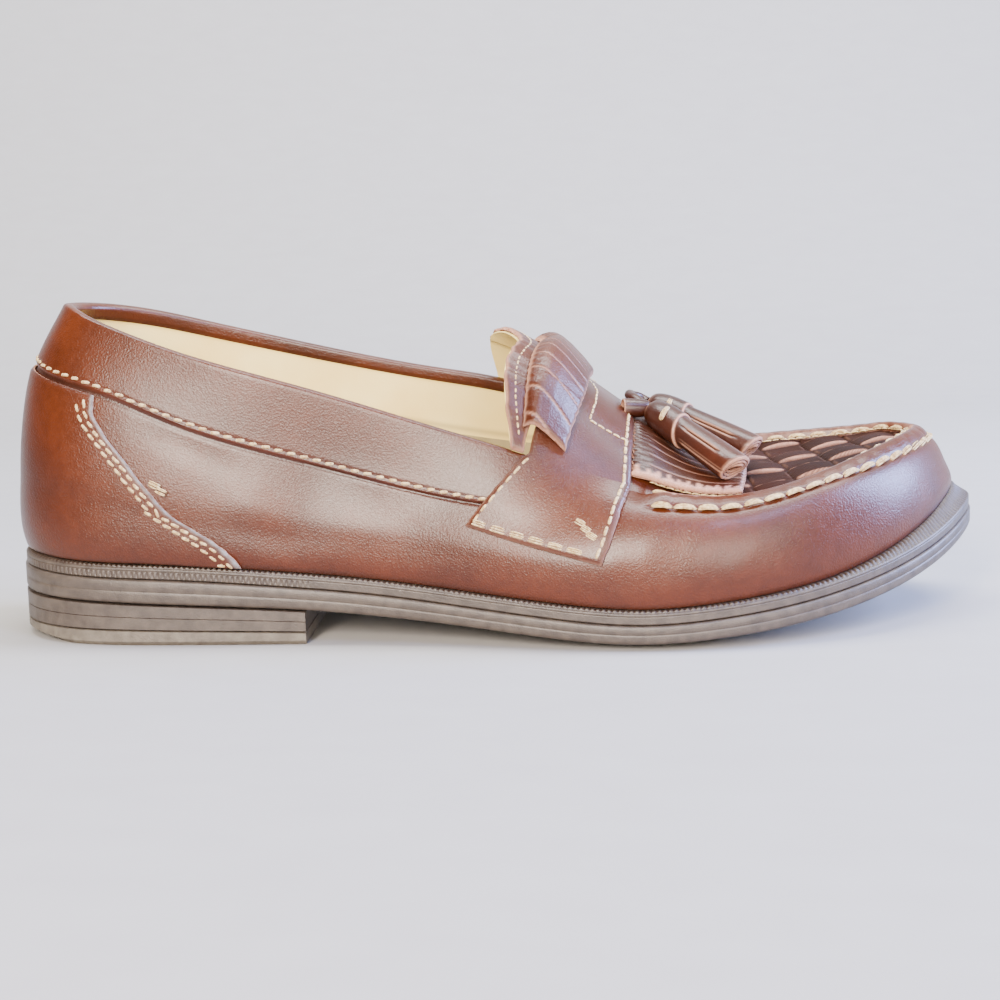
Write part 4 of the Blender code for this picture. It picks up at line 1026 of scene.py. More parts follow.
def sheet_places(edges, rows, columns, ragged=0.0):
    """Turn, level and the two shares of a grid of places between the edges of a layer."""
    across = np.linspace(girth_of(*edges[0][:2]), girth_of(*edges[-1][:2]), rows)
    backs, fronts, front_girth = edge_lines(edges, across)
    wobble = ragged * np.sin(np.cumsum(noise.uniform(0.2, 1.3, rows)))
    steps = np.linspace(0.0, 1.0, columns)[None, :]
    along = backs[:, None] - wobble[:, None] + (fronts - backs + 2.0 * wobble)[:, None] * steps
    girth = across[:, None] + (front_girth - across)[:, None] * steps
    sides = np.where(girth <= 4.0, -1, 1).ravel()
    levels = np.where(girth <= 4.0, girth, 8.0 - girth).ravel()
    return section_turn(along.ravel(), sides, levels), levels, np.tile(steps[0], rows), girth.ravel()


def rim_drop(points, rows, columns, thick):
    """How far a sheet's outer skin rounds over near its four edges."""
    grid = points.reshape(rows, columns, 3)
    down = np.linalg.norm(np.diff(grid, axis=0), axis=2).cumsum(axis=0)
    down = np.concatenate([np.zeros((1, columns)), down])
    over = np.linalg.norm(np.diff(grid, axis=1), axis=2).cumsum(axis=1)
    over = np.concatenate([np.zeros((rows, 1)), over], axis=1)
    near = np.minimum(np.minimum(down, down[-1:] - down), np.minimum(over, over[:, -1:] - over)).ravel()
    share = np.clip(1.0 - near / (0.8 * thick), 0.0, 1.0)
    return 0.55 * thick * (1.0 - np.sqrt(1.0 - share ** 2)), near


def layer(name, edges, low, thick, rows, columns, finishes, slot, stands_for, shape=None, ragged=0.0,
          lean=0.0):
    """A sheet on the upper; shape may return a lift and paint for its places."""
    turn, level, share, girth = sheet_places(edges, rows, columns, ragged)
    form = upper_point(turn, level)
    out = form_normal(turn, level)
    stand = low + bridged_lift(form, turn, level)
    sheet_faces = grid_faces(rows, columns)
    drop, near = rim_drop(form, rows, columns, thick)
    extra, paint = np.zeros(len(form)), np.zeros((len(form), 3))
    hump = 0.0
    if shape is not None:
        hump, extra, paint = shape(form, share, girth, near)
    leaning = out + lean * UP
    raised = leaning / np.linalg.norm(leaning, axis=1, keepdims=True) * np.reshape(hump, (-1, 1))
    outer = form + raised + out * (stand + thick - drop + extra)[:, None]
    inner = form + raised + out * stand[:, None]
    points, all_faces, pick = two_skins(outer, inner, sheet_faces)
    both = np.concatenate([paint, 0.0 * paint])
    return make_piece(name, points, all_faces, finishes, stands_for, pick, both)


calf_sheet = [chestnut_calf, raw_edge, raw_edge]

# %% Heel counter
COUNTER_ROWS = 60


def counter_front(levels):
    """The counter's front edge at each level."""
    curve = open_curve(column(COUNTER_EDGE, 0), column(COUNTER_EDGE, 1))
    return read_curve(curve, np.clip(levels, 0.10, 1.93))


counter_levels = np.linspace(0.03, 1.945, COUNTER_ROWS)
wobble = 0.0006 * np.sin(np.cumsum(noise.uniform(0.3, 1.6, COUNTER_ROWS)))
counter_edge = counter_front(counter_levels) + wobble
spread = np.linspace(-1.0, 1.0, 240)
lateral = section_turn(counter_edge, -1, counter_levels)[:, None]
medial = 2.0 - section_turn(counter_edge, 1, counter_levels)[:, None]
turn = np.where(spread < 0, -spread * lateral, -spread * medial).ravel() % 2.0
level = np.repeat(counter_levels, len(spread))
form = upper_point(turn, level)
out = form_normal(turn, level)
drop, near = rim_drop(form, COUNTER_ROWS, len(spread), COUNTER)
edge_gap = (1.0 - np.abs(np.tile(spread, COUNTER_ROWS))) * 0.06
frayed = np.exp(-(edge_gap / 0.0009) ** 2) * (0.75 + 0.25 * np.sin(2.3 * form[:, 2] / MM))
# Red is the frayed front edge; green is painted shade, darker at the foot in the join with the welt and along
# the top edge under the collar band.
paint = as_paint(0.9 * frayed, 0.35 * np.exp(-(level / 0.12) ** 2) + 0.25 * smooth(1.90, 1.95, level))
skin = form + out * (OVERLAY_GAP + COUNTER - drop + swell(form))[:, None]
points, all_faces, pick = two_skins(skin, form + out * OVERLAY_GAP, grid_faces(COUNTER_ROWS, len(spread)))
make_piece("counter_cover", points, all_faces, [counter_calf, raw_edge, raw_edge],
           ("heel_counter",), pick, np.concatenate([paint, 0.0 * paint]))


# %% Saddle, tongue and strap
def saddle_shape(form, share, girth, near):
    """The saddle sags a little between its stitches and its rim is burnished."""
    dark = 0.35 * np.exp(-(near / 0.0009) ** 2)
    return 0.0, 0.5 * swell(form), as_paint(0.30 * np.exp(-(near / 0.0004) ** 2), dark)


layer("saddle_cover", SADDLE_EDGES, OVERLAY_GAP, OVERLAY, 190, 46, calf_sheet, "upper_leather",
      ("saddle",), saddle_shape, 0.0003)


def tongue_shape(form, share, girth, near):
    """A row of fine wrinkles across the tongue, and a pale knife edge round it."""
    wrinkle = 0.10 * MM * np.sin(2.0 * math.pi * girth * 9.0 + 2.0 * share)
    raw = np.exp(-(near / 0.0005) ** 2)
    return 0.0, wrinkle, as_paint(raw)


LINING_THICK = 0.0007
layer("tongue_leather", TONGUE_EDGES, OVERLAY_GAP + LINING_THICK + 0.0001, TONGUE_THICK - LINING_THICK,
      130, 44, calf_sheet, "upper_leather", ("tongue",), tongue_shape, 0.0008)
layer("tongue_lining", TONGUE_EDGES, OVERLAY_GAP, LINING_THICK, 90, 24, [cream_lining] * 3, "lining",
      ("tongue",))

STRAP_CUTS = 8.6           # to a level
ARCH_PROFILE = (
    # share of the strap's width, share of its arch
    (0.0, 0.0), (0.08, 0.42), (0.16, 0.78), (0.24, 0.97), (0.32, 1.0), (0.50, 0.86), (0.75, 0.48), (1.0, 0.0),
)


def strap_shape(form, share, girth, near):
    """The strap arches steeply at its back; knife cuts slant across its face."""
    arch = STRAP_ARCH * np.interp(share, column(ARCH_PROFILE, 0), column(ARCH_PROFILE, 1))
    across = (girth - 3.0 + 0.10 * share * np.sign(4.0 - girth)) * STRAP_CUTS
    gap = np.abs((across % 1.0) - 0.5) * 2.0
    cut = np.exp(-((1.0 - gap) / 0.07) ** 2) * (1.0 - smooth(0.94, 0.98, share))
    raw = np.maximum(0.75 * cut, np.exp(-(near / 0.0004) ** 2))
    return arch, -0.28 * MM * cut, as_paint(raw)


STRAP_END = (3.07, 0.530, 3.04, 0.570)
BAND_OVER = ((-1, *STRAP_END),) + STRAP_EDGES[1:-1] + ((1, *STRAP_END),)
layer("strap_cover", BAND_OVER, 2.0 * OVERLAY_GAP + TONGUE_THICK, STRAP_THICK, 300, 56, calf_sheet,
      "upper_leather", ("strap",), strap_shape, 0.0004, 0.9)

# %% Fringed flap
FLAP_CUTS = 21


def flap_shape(form, share, girth, near):
    """Knife cuts part the flap into strips from just behind its root to its free edge."""
    across = (girth - 3.07) / 1.86 * FLAP_CUTS
    gap = np.abs((across % 1.0) - 0.5) * 2.0
    opened = smooth(0.08, 0.16, share)
    cut = np.exp(-((1.0 - gap) / 0.10) ** 2) * opened
    bow = 0.05 * MM * np.sin(math.pi * (across % 1.0)) * opened
    side = np.minimum(girth - 3.07, 4.93 - girth)
    fuzzy = 1.0 - smooth(0.028, 0.048, side + 0.02 * np.sin(140.0 * share) + 0.01 * np.sin(370.0 * share))
    raw = np.maximum(0.50 * cut, np.maximum(fuzzy, np.exp(-(near / 0.0005) ** 2) * (share > 0.5)))
    root = -WEAVE_RELIEF * (1.0 - smooth(0.0, 0.16, share))
    # The whole fringe is painted darker than the saddle's calf, 0.55 of the dark mark, and its cuts are pale.
    return root, bow - 0.16 * MM * cut, as_paint(raw, 0.55)


FRINGE_EDGES = tuple((*row[:2], row[2] - 0.0042, *row[3:]) for row in FLAP_EDGES)
layer("fringe", FRINGE_EDGES, OVERLAY_GAP + WEAVE_RELIEF, FLAP_THICK, 330, 34, calf_sheet, "upper_leather",
      ("fringe_flap",), flap_shape, 0.0010)

# %% [markdown]
# ## Stitches
#
# Machine rows are short, even and sunk at their ends; the hand-sewn seam is waxed thread of several
# strands in longer stitches. A stitch is a small capsule that bows over the leather between two holes, and a
# row is one mesh. A row runs along a line of places on the form, so it lies on whatever the skin does.

# %% Stitch rows
def walk(line, pitch, start=0.0):
    """Even places along a line of points, with the way on at each."""
    reach = np.concatenate([[0.0], np.cumsum(np.linalg.norm(np.diff(line, axis=0), axis=1))])
    spots = np.arange(start, reach[-1] - 0.5 * pitch, pitch)
    middle = np.stack([np.interp(spots, reach, line[:, axis]) for axis in range(3)], axis=1)
    ahead = np.stack([np.interp(spots + 0.1 * pitch, reach, line[:, axis]) for axis in range(3)], axis=1)
    way = ahead - middle
    return spots, reach, middle, way / np.linalg.norm(way, axis=1, keepdims=True)


def capsules(middle, way, out, length, width, height, strands=1, slant=0.0, sink=0.35):
    """Closed threads, one for each strand of each stitch, bowed over the skin."""
    rings, sides = 9, 8
    beside = np.cross(out, way)
    beside /= np.linalg.norm(beside, axis=1, keepdims=True)
    way = way * math.cos(slant) + beside * math.sin(slant)
    beside = np.cross(out, way)
    share = np.linspace(-1.0, 1.0, rings)
    size = np.maximum(1.0 - share ** 4, 0.0) ** 0.5 * 0.92 + 0.08
    angle = np.arange(sides) * 2.0 * math.pi / sides
    points, faces = [], []
    thin = width / strands * 0.90 if strands > 1 else width
    for spot in range(len(middle)):
        for strand in range(strands):
            aside = (strand - 0.5 * (strands - 1)) * width / strands
            long = length * (1.0 + 0.06 * noise.standard_normal())
            wave = 0.05 * width * noise.standard_normal()
            base = len(points) * rings * sides
            centre = middle[spot] + beside[spot] * (aside * (1.0 - 0.25 * share[:, None] ** 2) + wave)
            centre = centre + way[spot] * (0.5 * long * share[:, None])
            centre = centre + out[spot] * (height * (0.5 - sink - 0.55 * share[:, None] ** 2))
            wide = 0.5 * thin * size[:, None, None] * np.cos(angle)[None, :, None]
            tall = 0.5 * height * size[:, None, None] * np.sin(angle)[None, :, None]
            ring = beside[spot][None, None] * wide + out[spot][None, None] * tall
            points.append((centre[:, None] + ring).reshape(-1, 3))
            for row in range(rings - 1):
                for place in range(sides):
                    after = (place + 1) % sides
                    first = base + row * sides
                    faces.append((first + place, first + after, first + sides + after, first + sides + place))
            for first, flip in ((base, True), (base + (rings - 1) * sides, False)):
                for a, b, c, d in ((0, 1, 2, 3), (0, 3, 4, 5), (0, 5, 6, 7)):
                    cap = (first + a, first + b, first + c, first + d)
                    faces.append(tuple(reversed(cap)) if flip else cap)
    return np.concatenate(points), faces


def row_on_upper(name, turn, level, stand, sizes, strands=1, slant=0.0, sink=0.35, lift=skin_lift):
    """Stitches along places on the upper; sizes are pitch, length, width and height in mm."""
    pitch, length, width, height = (size * MM for size in sizes)
    level = np.full(len(turn), level) if np.ndim(level) == 0 else level
    form = upper_point(turn, level)
    out = form_normal(turn, level)
    line = form + out * (lift(form, turn, level) + stand)[:, None]
    spots, reach, middle, way = walk(line, pitch, 0.5 * pitch)
    facing = np.stack([np.interp(spots, reach, out[:, axis]) for axis in range(3)], axis=1)
    facing = facing / np.linalg.norm(facing, axis=1, keepdims=True)
    points, made = capsules(middle, way, facing, length, width, height, strands, slant, sink)
    return make_piece(name, points, made, [waxed_thread], sharp=60)


def level_turns(start, end, level, count=500):
    """Places at one level from a share of the length on the lateral side, round the heel, to the medial."""
    first = float(section_turn(start, -1, level))
    last = 2.0 - float(section_turn(end, 1, level))
    return np.linspace(first, -last, count) % 2.0


# %% Machine rows on band and counter
row_on_upper("band_stitches", level_turns(0.497, 0.497, BAND_ROW), BAND_ROW, 0.00016, (3.5, 2.6, 0.9, 0.75),
             slant=0.20)

for number, inward in ((1, 2.1), (2, 4.1)):
    for side, label in ((-1, "lateral"), (1, "medial")):
        levels_up = np.linspace(0.04, 1.93, 160)
        edge_line = counter_front(levels_up)
        spot = upper_point(section_turn(edge_line, side, levels_up), levels_up)
        rise = np.gradient(spot[:, 0]) / np.maximum(np.abs(np.gradient(spot[:, 2])), 1e-5)
        shift = inward * MM * np.sqrt(1.0 + np.minimum(rise ** 2, 2.2)) / SOLE_LENGTH
        place = section_turn(edge_line - shift, side, levels_up)
        row_on_upper(f"counter_stitches_{label}_{number}", place, levels_up, OVERLAY_GAP + COUNTER,
                     (3.0, 2.7, 0.85, 0.65), slant=0.15)

# %% Hand-sewn seam
row_on_upper("seam_stitches", seam_turns, 2.05, 0.0006, (HAND_PITCH_MM, 5.4, 1.9, 0.85), 4, sink=0.0)

# The same seam from inside the ridge: the long stitches, and a thin chain of thread along their foot.
row_on_upper("seam_stitches_inside", seam_turns, 3.015, 0.0010, (HAND_PITCH_MM, 5.0, 1.4, 0.8), 3, sink=0.0)
row_on_upper("seam_chain_inside", seam_turns, 3.075, 0.0007, (2.3, 2.5, 0.5, 0.45), sink=0.0)


# %% Rows on the saddle and the tongue
def edge_row(name, edges, low, high, share, stand, sizes):
    """A row of stitches beside the back or the front edge of a layer, between two girths."""
    across = np.linspace(low, high, 300)
    backs, fronts, front_girth = edge_lines(edges, across)
    girth = across + (front_girth - across) * (0.0 if share < 0.5 else 1.0)
    inset = (share if share < 0.5 else share - 1.0) * np.ones(300)
    along = (backs if share < 0.5 else fronts) + inset
    sides = np.where(girth <= 4.0, -1, 1)
    level = np.where(girth <= 4.0, girth, 8.0 - girth)
    row_on_upper(name, section_turn(along, sides, level), level, stand, sizes, lift=bridged_lift)


saddle_top = OVERLAY_GAP + OVERLAY
BACK_ROW, FRONT_ROW = (3.3, 2.9, 0.75, 0.6), (3.1, 3.1, 0.9, 0.7)
for name, low, high, share, sizes in (("back_stitches", 1.56, 2.98, 0.0058, BACK_ROW),
                                      ("back_stitches_medial", 5.02, 6.44, 0.0058, BACK_ROW),
                                      ("front_stitches", 1.56, 3.9, 1.0 - 0.0070, FRONT_ROW),
                                      ("front_stitches_medial", 4.1, 6.44, 1.0 - 0.0070, FRONT_ROW)):
    edge_row("saddle_" + name, SADDLE_EDGES, low, high, share, saddle_top, sizes)
edge_row("tongue_stitches", TONGUE_EDGES, 3.04, 4.98, 0.0098, OVERLAY_GAP + TONGUE_THICK,
         (2.0, 1.8, 0.55, 0.5))

for side, label in ((-1, "lateral"), (1, "medial")):
    share = np.linspace(0.035, 0.985, 200)
    lower = SADDLE_EDGES[0]
    level = lower[1] + (lower[3] - lower[1]) * share + 0.115
    turn = section_turn(lower[2] + (lower[4] - lower[2]) * share, side, level)
    row_on_upper(f"saddle_hand_stitches_{label}", turn, level, saddle_top, (5.3, 4.6, 1.7, 0.9), 3,
                 lift=bridged_lift)

# Window line: along and level of its points on the lateral side.
WINDOW = ((0.5860, 3.93), (0.5975, 3.85), (0.6020, 3.66), (0.6000, 3.45), (0.5945, 3.27), (0.6072, 3.26),
          (0.6221, 3.26), (0.6335, 3.27))
for side, label in ((-1, "lateral"), (1, "medial")):
    share = np.linspace(0.0, len(WINDOW) - 1.0, 160)
    along, level = (np.interp(share, range(len(WINDOW)), column(WINDOW, axis)) for axis in (0, 1))
    row_on_upper(f"window_stitches_{label}", section_turn(along, side, level), level, saddle_top,
                 (2.4, 2.35, 0.62, 0.5), lift=bridged_lift)

# %% Loose threads
# Worn thread: one tuft on the saddle's corner, one on the counter. Each row has the share of the length and
# the level of its two ends, and the height that it stands at.
TUFTS = (
    ("saddle", (0.583, 0.602), (1.764, 1.393), OVERLAY_GAP + OVERLAY),
    ("counter", (0.163, 0.179), (1.303, 1.183), OVERLAY_GAP + COUNTER),
)
for label, (start, end), (high, low), stand in TUFTS:
    levels = np.linspace(high, low, 40)
    turns = section_turn(np.linspace(start, end, 40), -1, levels)
    row_on_upper(f"loose_threads_{label}", turns, levels, stand, (2.4, 3.4, 1.7, 0.5), 4, 0.35)

# %% [markdown]
# ## Tassels
#
# A strip of calf is cut into a fringe and rolled up, and a second strip is wrapped round its head and
# caught with one thick stitch. So the tassel has a smooth cap with a pale slanting edge, a skirt with
# slits, and an end that shows the roll. Both hang on one lace, which leaves the saddle between them.

# %% Tassel
TASSEL_SIDES = 96


def vamp_place(along, side_share):
    """A point on the vamp's top: side_share -1 at its lateral rim, 0 on the centre line, 1 at its medial."""
    side = -1 if side_share <= 0 else 1
    level = 4.0 - abs(side_share)
    return upper_point(section_turn(along, side, level), level)


def tassel_axis(start, end, raised):
    rest = OVERLAY_GAP + FLAP_THICK + GAP + raised * TASSEL_RADIUS
    first, last = vamp_place(*start) + UP * rest, vamp_place(*end) + UP * rest
    return first, (last - first) / np.linalg.norm(last - first)


TASSEL_ROWS = (
    # share of the length, radius as a share, how much the row slants, pale cut edge
    (0.000, 0.40, 0.0, 0.6), (0.012, 0.60, 0.0, 0.9), (0.030, 0.74, 0.0, 0.1), (0.060, 0.86, 0.0, 0.0),
    (0.100, 0.95, 0.0, 0.0), (0.150, 1.00, 0.2, 0.0), (0.200, 1.03, 0.4, 0.0), (0.260, 1.05, 0.7, 0.0),
    (0.320, 1.05, 0.9, 0.0), (0.370, 1.05, 1.0, 0.0), (0.385, 1.05, 1.0, 0.2), (0.393, 1.03, 1.0, 1.0),
    (0.401, 0.99, 1.0, 1.0), (0.404, 0.90, 1.0, 0.1), (0.415, 0.885, 1.0, 0.0), (0.450, 0.89, 0.8, 0.0),
    (0.500, 0.91, 0.6, 0.0), (0.560, 0.93, 0.4, 0.0), (0.620, 0.95, 0.2, 0.0), (0.680, 0.97, 0.0, 0.0),
    (0.740, 0.985, -0.1, 0.0), (0.800, 1.00, -0.2, 0.0), (0.860, 1.01, -0.4, 0.0), (0.920, 1.02, -0.6, 0.0),
    (0.965, 1.02, -0.7, 0.0), (0.985, 1.01, -0.8, 0.3), (0.996, 0.98, -0.8, 1.0), (1.000, 0.92, -0.8, 1.0),
    (1.000, 0.82, -0.8, 1.0), (0.990, 0.79, -0.8, 0.1), (0.990, 0.74, -0.8, 0.1), (1.000, 0.71, -0.8, 1.0),
    (1.000, 0.60, -0.8, 1.0), (0.988, 0.57, -0.8, 0.1), (0.988, 0.52, -0.8, 0.1), (0.998, 0.49, -0.8, 1.0),
    (0.998, 0.36, -0.8, 1.0), (0.975, 0.32, -0.8, 0.1), (0.970, 0.10, -0.8, 0.0),
)


def tassel(name, start, way, stands_for, seed):
    """One tassel from its head along its way."""
    shift = np.random.default_rng(seed)
    side_axis = UP - way * np.dot(way, UP)
    side_axis /= np.linalg.norm(side_axis)
    other = np.cross(way, side_axis)
    open_side = (0.0, -1.0, 0.45)
    outward = math.atan2(np.dot(open_side, other), np.dot(open_side, side_axis))
    angle = np.arange(TASSEL_SIDES) * 2.0 * math.pi / TASSEL_SIDES
    slits = [(outward + 0.05, 0.47, 0.86, 1.0)]
    slits += [(outward + turn + shift.uniform(-0.15, 0.15), 0.44, 1.02, 0.55)
              for turn in (1.15, 2.2, 3.2, 4.2, 5.2)]
    points, paint = [], []
    for share, radius, slant, pale in TASSEL_ROWS:
        place = share + 0.055 * slant * np.cos(angle - outward - 2.2)
        deep, light = np.zeros(TASSEL_SIDES), np.full(TASSEL_SIDES, pale)
        for spot, low, high, strength in slits:
            gap = np.abs((angle - spot + math.pi) % (2.0 * math.pi) - math.pi)
            along_slit = smooth(low, low + 0.05, share) * (1.0 - smooth(high - 0.04, high + 0.01, share))
            deep += strength * along_slit * np.exp(-(gap / 0.06) ** 2)
            light = np.maximum(light, strength * along_slit * np.exp(-((gap - 0.11) / 0.05) ** 2))
        uneven = 1.0 + 0.015 * np.sin(3.0 * angle + 5.0 * share)
        size = TASSEL_RADIUS * radius * (1.0 - 0.20 * deep) * uneven
        centre = start + way * TASSEL_LENGTH * place[:, None]
        ring = np.outer(np.cos(angle), side_axis) + np.outer(np.sin(angle), other)
        points.append(centre + ring * size[:, None])
        # Red is the pale cut edge; green is painted shade inside the slits.
        paint.append(as_paint(light * (1.0 - 0.5 * deep), 0.8 * deep))
    levels = len(TASSEL_ROWS)
    faces = ring_faces(levels, TASSEL_SIDES) + end_fans(levels, TASSEL_SIDES)
    hearts = [np.mean(points[end], axis=0) for end in (0, -1)]
    paint = np.concatenate(paint + [paint[0][:1], paint[-1][:1]])
    make_piece(name, np.concatenate(points + [hearts]), faces, [tassel_calf], (stands_for,),
               None, paint, 40)
    facing = side_axis * math.cos(outward) + other * math.sin(outward)
    across = np.cross(facing, way)
    middle = start + way * TASSEL_LENGTH * 0.225 + facing * TASSEL_RADIUS * 1.04
    lean = across * 0.96 - way * 0.28
    lean /= np.linalg.norm(lean)
    ends, made = capsules(middle[None], lean[None], facing[None], 4.6 * MM, 1.5 * MM, 0.9 * MM, 3)
    make_piece(name + "_stitch", ends, made, [waxed_thread], sharp=60)


near, near_way = tassel_axis((0.660, -0.30), (0.735, -0.86), 1.26)
far, far_way = tassel_axis((0.662, -0.02), (0.750, -0.46), 1.35)
tassel("tassel_outer", near, near_way, "tassel_lateral", 3)
tassel("tassel_inner", far, far_way, "tassel_medial", 5)


# %% Lace and its curled end
def tube(route, radii, sides):
    """Rings round a route, closed at both ends."""
    way = np.gradient(route, axis=0)
    way /= np.linalg.norm(way, axis=1, keepdims=True)
    first = np.cross(way, UP)
    first /= np.linalg.norm(first, axis=1, keepdims=True)
    second = np.cross(way, first)
    angle = np.arange(sides) * 2.0 * math.pi / sides
    ring = first[:, None] * np.cos(angle)[None, :, None] + second[:, None] * np.sin(angle)[None, :, None]
    points = (route[:, None] + ring * np.asarray(radii)[:, None, None]).reshape(-1, 3)
    faces = ring_faces(len(route), sides) + end_fans(len(route), sides)
    return np.concatenate([points, route[:1], route[-1:]]), faces


reach, neck = 2.0 * GAP, 1.6 * LACE_RADIUS
knot = 0.5 * (near + far) - (near_way + far_way) * 2.7 * LACE_RADIUS
route = np.array([near - near_way * reach, near - near_way * (reach + neck), knot,
                  far - far_way * (reach + neck), far - far_way * reach])
knots = np.concatenate([[0.0], np.cumsum(np.linalg.norm(np.diff(route, axis=0), axis=1))])
line = read_curve(open_curve(knots, route), np.linspace(0.0, knots[-1], 60))
points, faces = tube(line, LACE_RADIUS * (1.0 + 0.05 * np.sin(np.linspace(0.0, 25.0, 60))), 24)
make_piece("lace", points, faces, [tassel_calf], ("tassel_lace",))

# The curl's rows: share of its length, radius in mm and pale edge, out along the outside and back inside.
CURL_SIDES = 40
CURL_ROWS = (
    (0.00, 1.9, 0.0), (0.10, 2.3, 0.0), (0.35, 2.55, 0.0), (0.70, 2.65, 0.0), (0.95, 2.70, 0.1),
    (1.00, 2.62, 1.0), (1.01, 2.35, 1.0), (0.98, 2.15, 1.0), (0.80, 2.10, 0.0), (0.45, 2.05, 0.0),
)
curl_start = near - near_way * 0.6 * MM
curl_end = near + np.array([-7.6, -1.0, 0.6]) * MM
rows = np.array([curl_start + (curl_end - curl_start) * row[0] for row in CURL_ROWS])
curl_way = (curl_end - curl_start) / np.linalg.norm(curl_end - curl_start)
first = np.cross(curl_way, UP)
first /= np.linalg.norm(first)
second = np.cross(curl_way, first)
angle = np.arange(CURL_SIDES) * 2.0 * math.pi / CURL_SIDES
ring = np.outer(np.cos(angle), first) + np.outer(np.sin(angle), second)
points = [place + ring * row[1] * MM for place, row in zip(rows, CURL_ROWS)]
points = np.concatenate(points + [rows[:1], rows[-1:]])
paint = as_paint(np.concatenate([np.repeat(column(CURL_ROWS, 2), CURL_SIDES), [0.0, 0.0]]))
faces = ring_faces(len(CURL_ROWS), CURL_SIDES) + end_fans(len(CURL_ROWS), CURL_SIDES)
make_piece("lace_curl", points, faces, [tassel_calf], (), None, paint)

# %% [markdown]
# ## Sole
#
# The sole is one moulded unit: a rubber bed with a raised welt whose top is notched like a storm welt, a
# heel of two layers and a top lift. A mould leaves small steps and lines, so each part is a profile swept
# round the same edge, dense enough for a notch every millimetre and a half. The back of the heel is worn.

# %% Rings round the edge
def even_turns(count):
    """Places round the edge, evenly spaced in millimetres."""
    turns = np.linspace(0.0, 2.0, 6001)
    edge = edge_frame(turns)[0]
    reach = np.concatenate([[0.0], np.cumsum(np.linalg.norm(np.diff(edge, axis=0), axis=1))])
    spots = np.linspace(0.0, reach[-1], count + 1)[:-1]
    return np.interp(spots, reach, turns), spots


def paired_turns(count):
    """Places round the whole edge, the two sides level with each other."""
    turns = 0.5 - 0.5 * np.cos(np.linspace(0.0, math.pi, count + 1))
    turns = 0.55 * turns + 0.45 * np.linspace(0.0, 1.0, count + 1)
    return np.concatenate([turns, 2.0 - turns[-2:0:-1]])


def ring_points(ring, inward, heights):
    edge, out = edge_frame(ring)
    flat = edge - out * np.broadcast_to(inward, ring.shape)[:, None]
    return np.concatenate([flat, np.broadcast_to(heights, ring.shape)[:, None]], axis=1)


# %% Welt
WELT_COLUMNS = 2800
NOTCH = 1.45 * MM
ring, spots = even_turns(WELT_COLUMNS)
along = along_of(ring)
top, rise = top_edge(along), ledge_rise(along)
feather = read_curve(WALL_ROWS, ring)[:, 0] * BALL_WIDTH / 100.0
bead = np.maximum(feather - BEAD_WIDTH, 0.9 * SOLE_BEVEL)
base = top - WELT_HEIGHT + GAP
wave = np.sin(2.0 * math.pi * spots / NOTCH)
notch = 0.28 * MM * wave * (0.6 + 0.4 * smooth(0.80, 0.93, along))
heel_side = (1.0 - smooth(0.29, 0.33, along)) * smooth(0.012, 0.035, along)
heel_rib = 0.25 * MM * np.clip(2.5 * wave, -1.0, 1.0) * heel_side
side = 0.4 * SOLE_BEVEL
profile = [
    (0.7 * SOLE_BEVEL, base), (side, base + 0.3 * SOLE_BEVEL),
    (side - 0.5 * heel_rib, base + 0.45 * SOLE_BEVEL), (side - 0.5 * heel_rib, top - 1.15 * SOLE_BEVEL),
    (side, top - 1.0 * SOLE_BEVEL), (side + 0.15 * MM, top - 0.85 * SOLE_BEVEL),
    (side, top - 0.7 * SOLE_BEVEL),
    (side, top - 0.35 * SOLE_BEVEL), (0.58 * SOLE_BEVEL, top - 0.1 * SOLE_BEVEL),
    (0.80 * SOLE_BEVEL, top + 0.2 * notch),
    (0.5 * bead + 0.4 * SOLE_BEVEL, top + 0.3 * rise + 0.5 * notch),
    (bead, top + 0.6 * rise + notch), (0.5 * (bead + feather), top + 0.85 * rise + notch + 0.1 * MM),
    (feather, top + rise + 0.5 * notch - 0.1 * MM), (feather + 0.3 * MM, top + rise - 0.00002),
    (WELT_WIDTH - GAP, top + rise - 0.00002), (WELT_WIDTH - GAP, base), (0.7 * SOLE_BEVEL, base),
]
points = np.concatenate([ring_points(ring, inward, height) for inward, height in profile[:-1]])
faces = [tuple(index % len(points) for index in face) for face in ring_faces(len(profile), WELT_COLUMNS)]
# Painted shade in the notches, in the heel ribs' troughs, in the crevice against the upper and on the
# underside; the welt's top is darker all along, and a dark line runs along the side's small bead.
dark = np.zeros((len(profile) - 1, WELT_COLUMNS))
for row in (9, 10, 11, 12, 13):
    dark[row] = 0.30 + 0.55 * (wave < -0.1)
dark[2] = dark[3] = 0.45 * (wave < -0.1) * heel_side
dark[5], dark[14] = 0.25, 0.8
dark[0], dark[16] = 0.5, 0.5
paint = as_paint(np.zeros(dark.size), dark.ravel())
make_piece("welt_notched", points, faces, [sole_rubber], ("welt",), None, paint)

# %% Outsole
SOLE_HALF = 230
ring = paired_turns(SOLE_HALF)
along = along_of(ring)
low, top = tread_edge(along), top_edge(along)
seat = top - WELT_HEIGHT
under = ring_points(ring, 2.2 * SOLE_BEVEL, low)
under[:, 2] = tread_edge(under[:, 0] / SOLE_LENGTH + 0.5)
bevels = [(2.2, 0.0), (1.3, 0.10), (0.7, 0.28), (0.25, 0.62), (0.0, 1.3)]
middle = [ring_points(ring, inward * SOLE_BEVEL, low + height * SOLE_BEVEL) for inward, height in bevels[1:]]
span = seat - 0.5 * SOLE_BEVEL - low - 1.3 * SOLE_BEVEL
groove = 0.12 * MM * smooth(0.0018, 0.0035, span)
side_rows = ((0.30, 0.0), (0.42, 0.0), (0.46, groove), (0.50, 0.0), (0.75, 0.0), (1.0, 0.0))
middle += [ring_points(ring, inset, low + 1.3 * SOLE_BEVEL + span * share) for share, inset in side_rows]
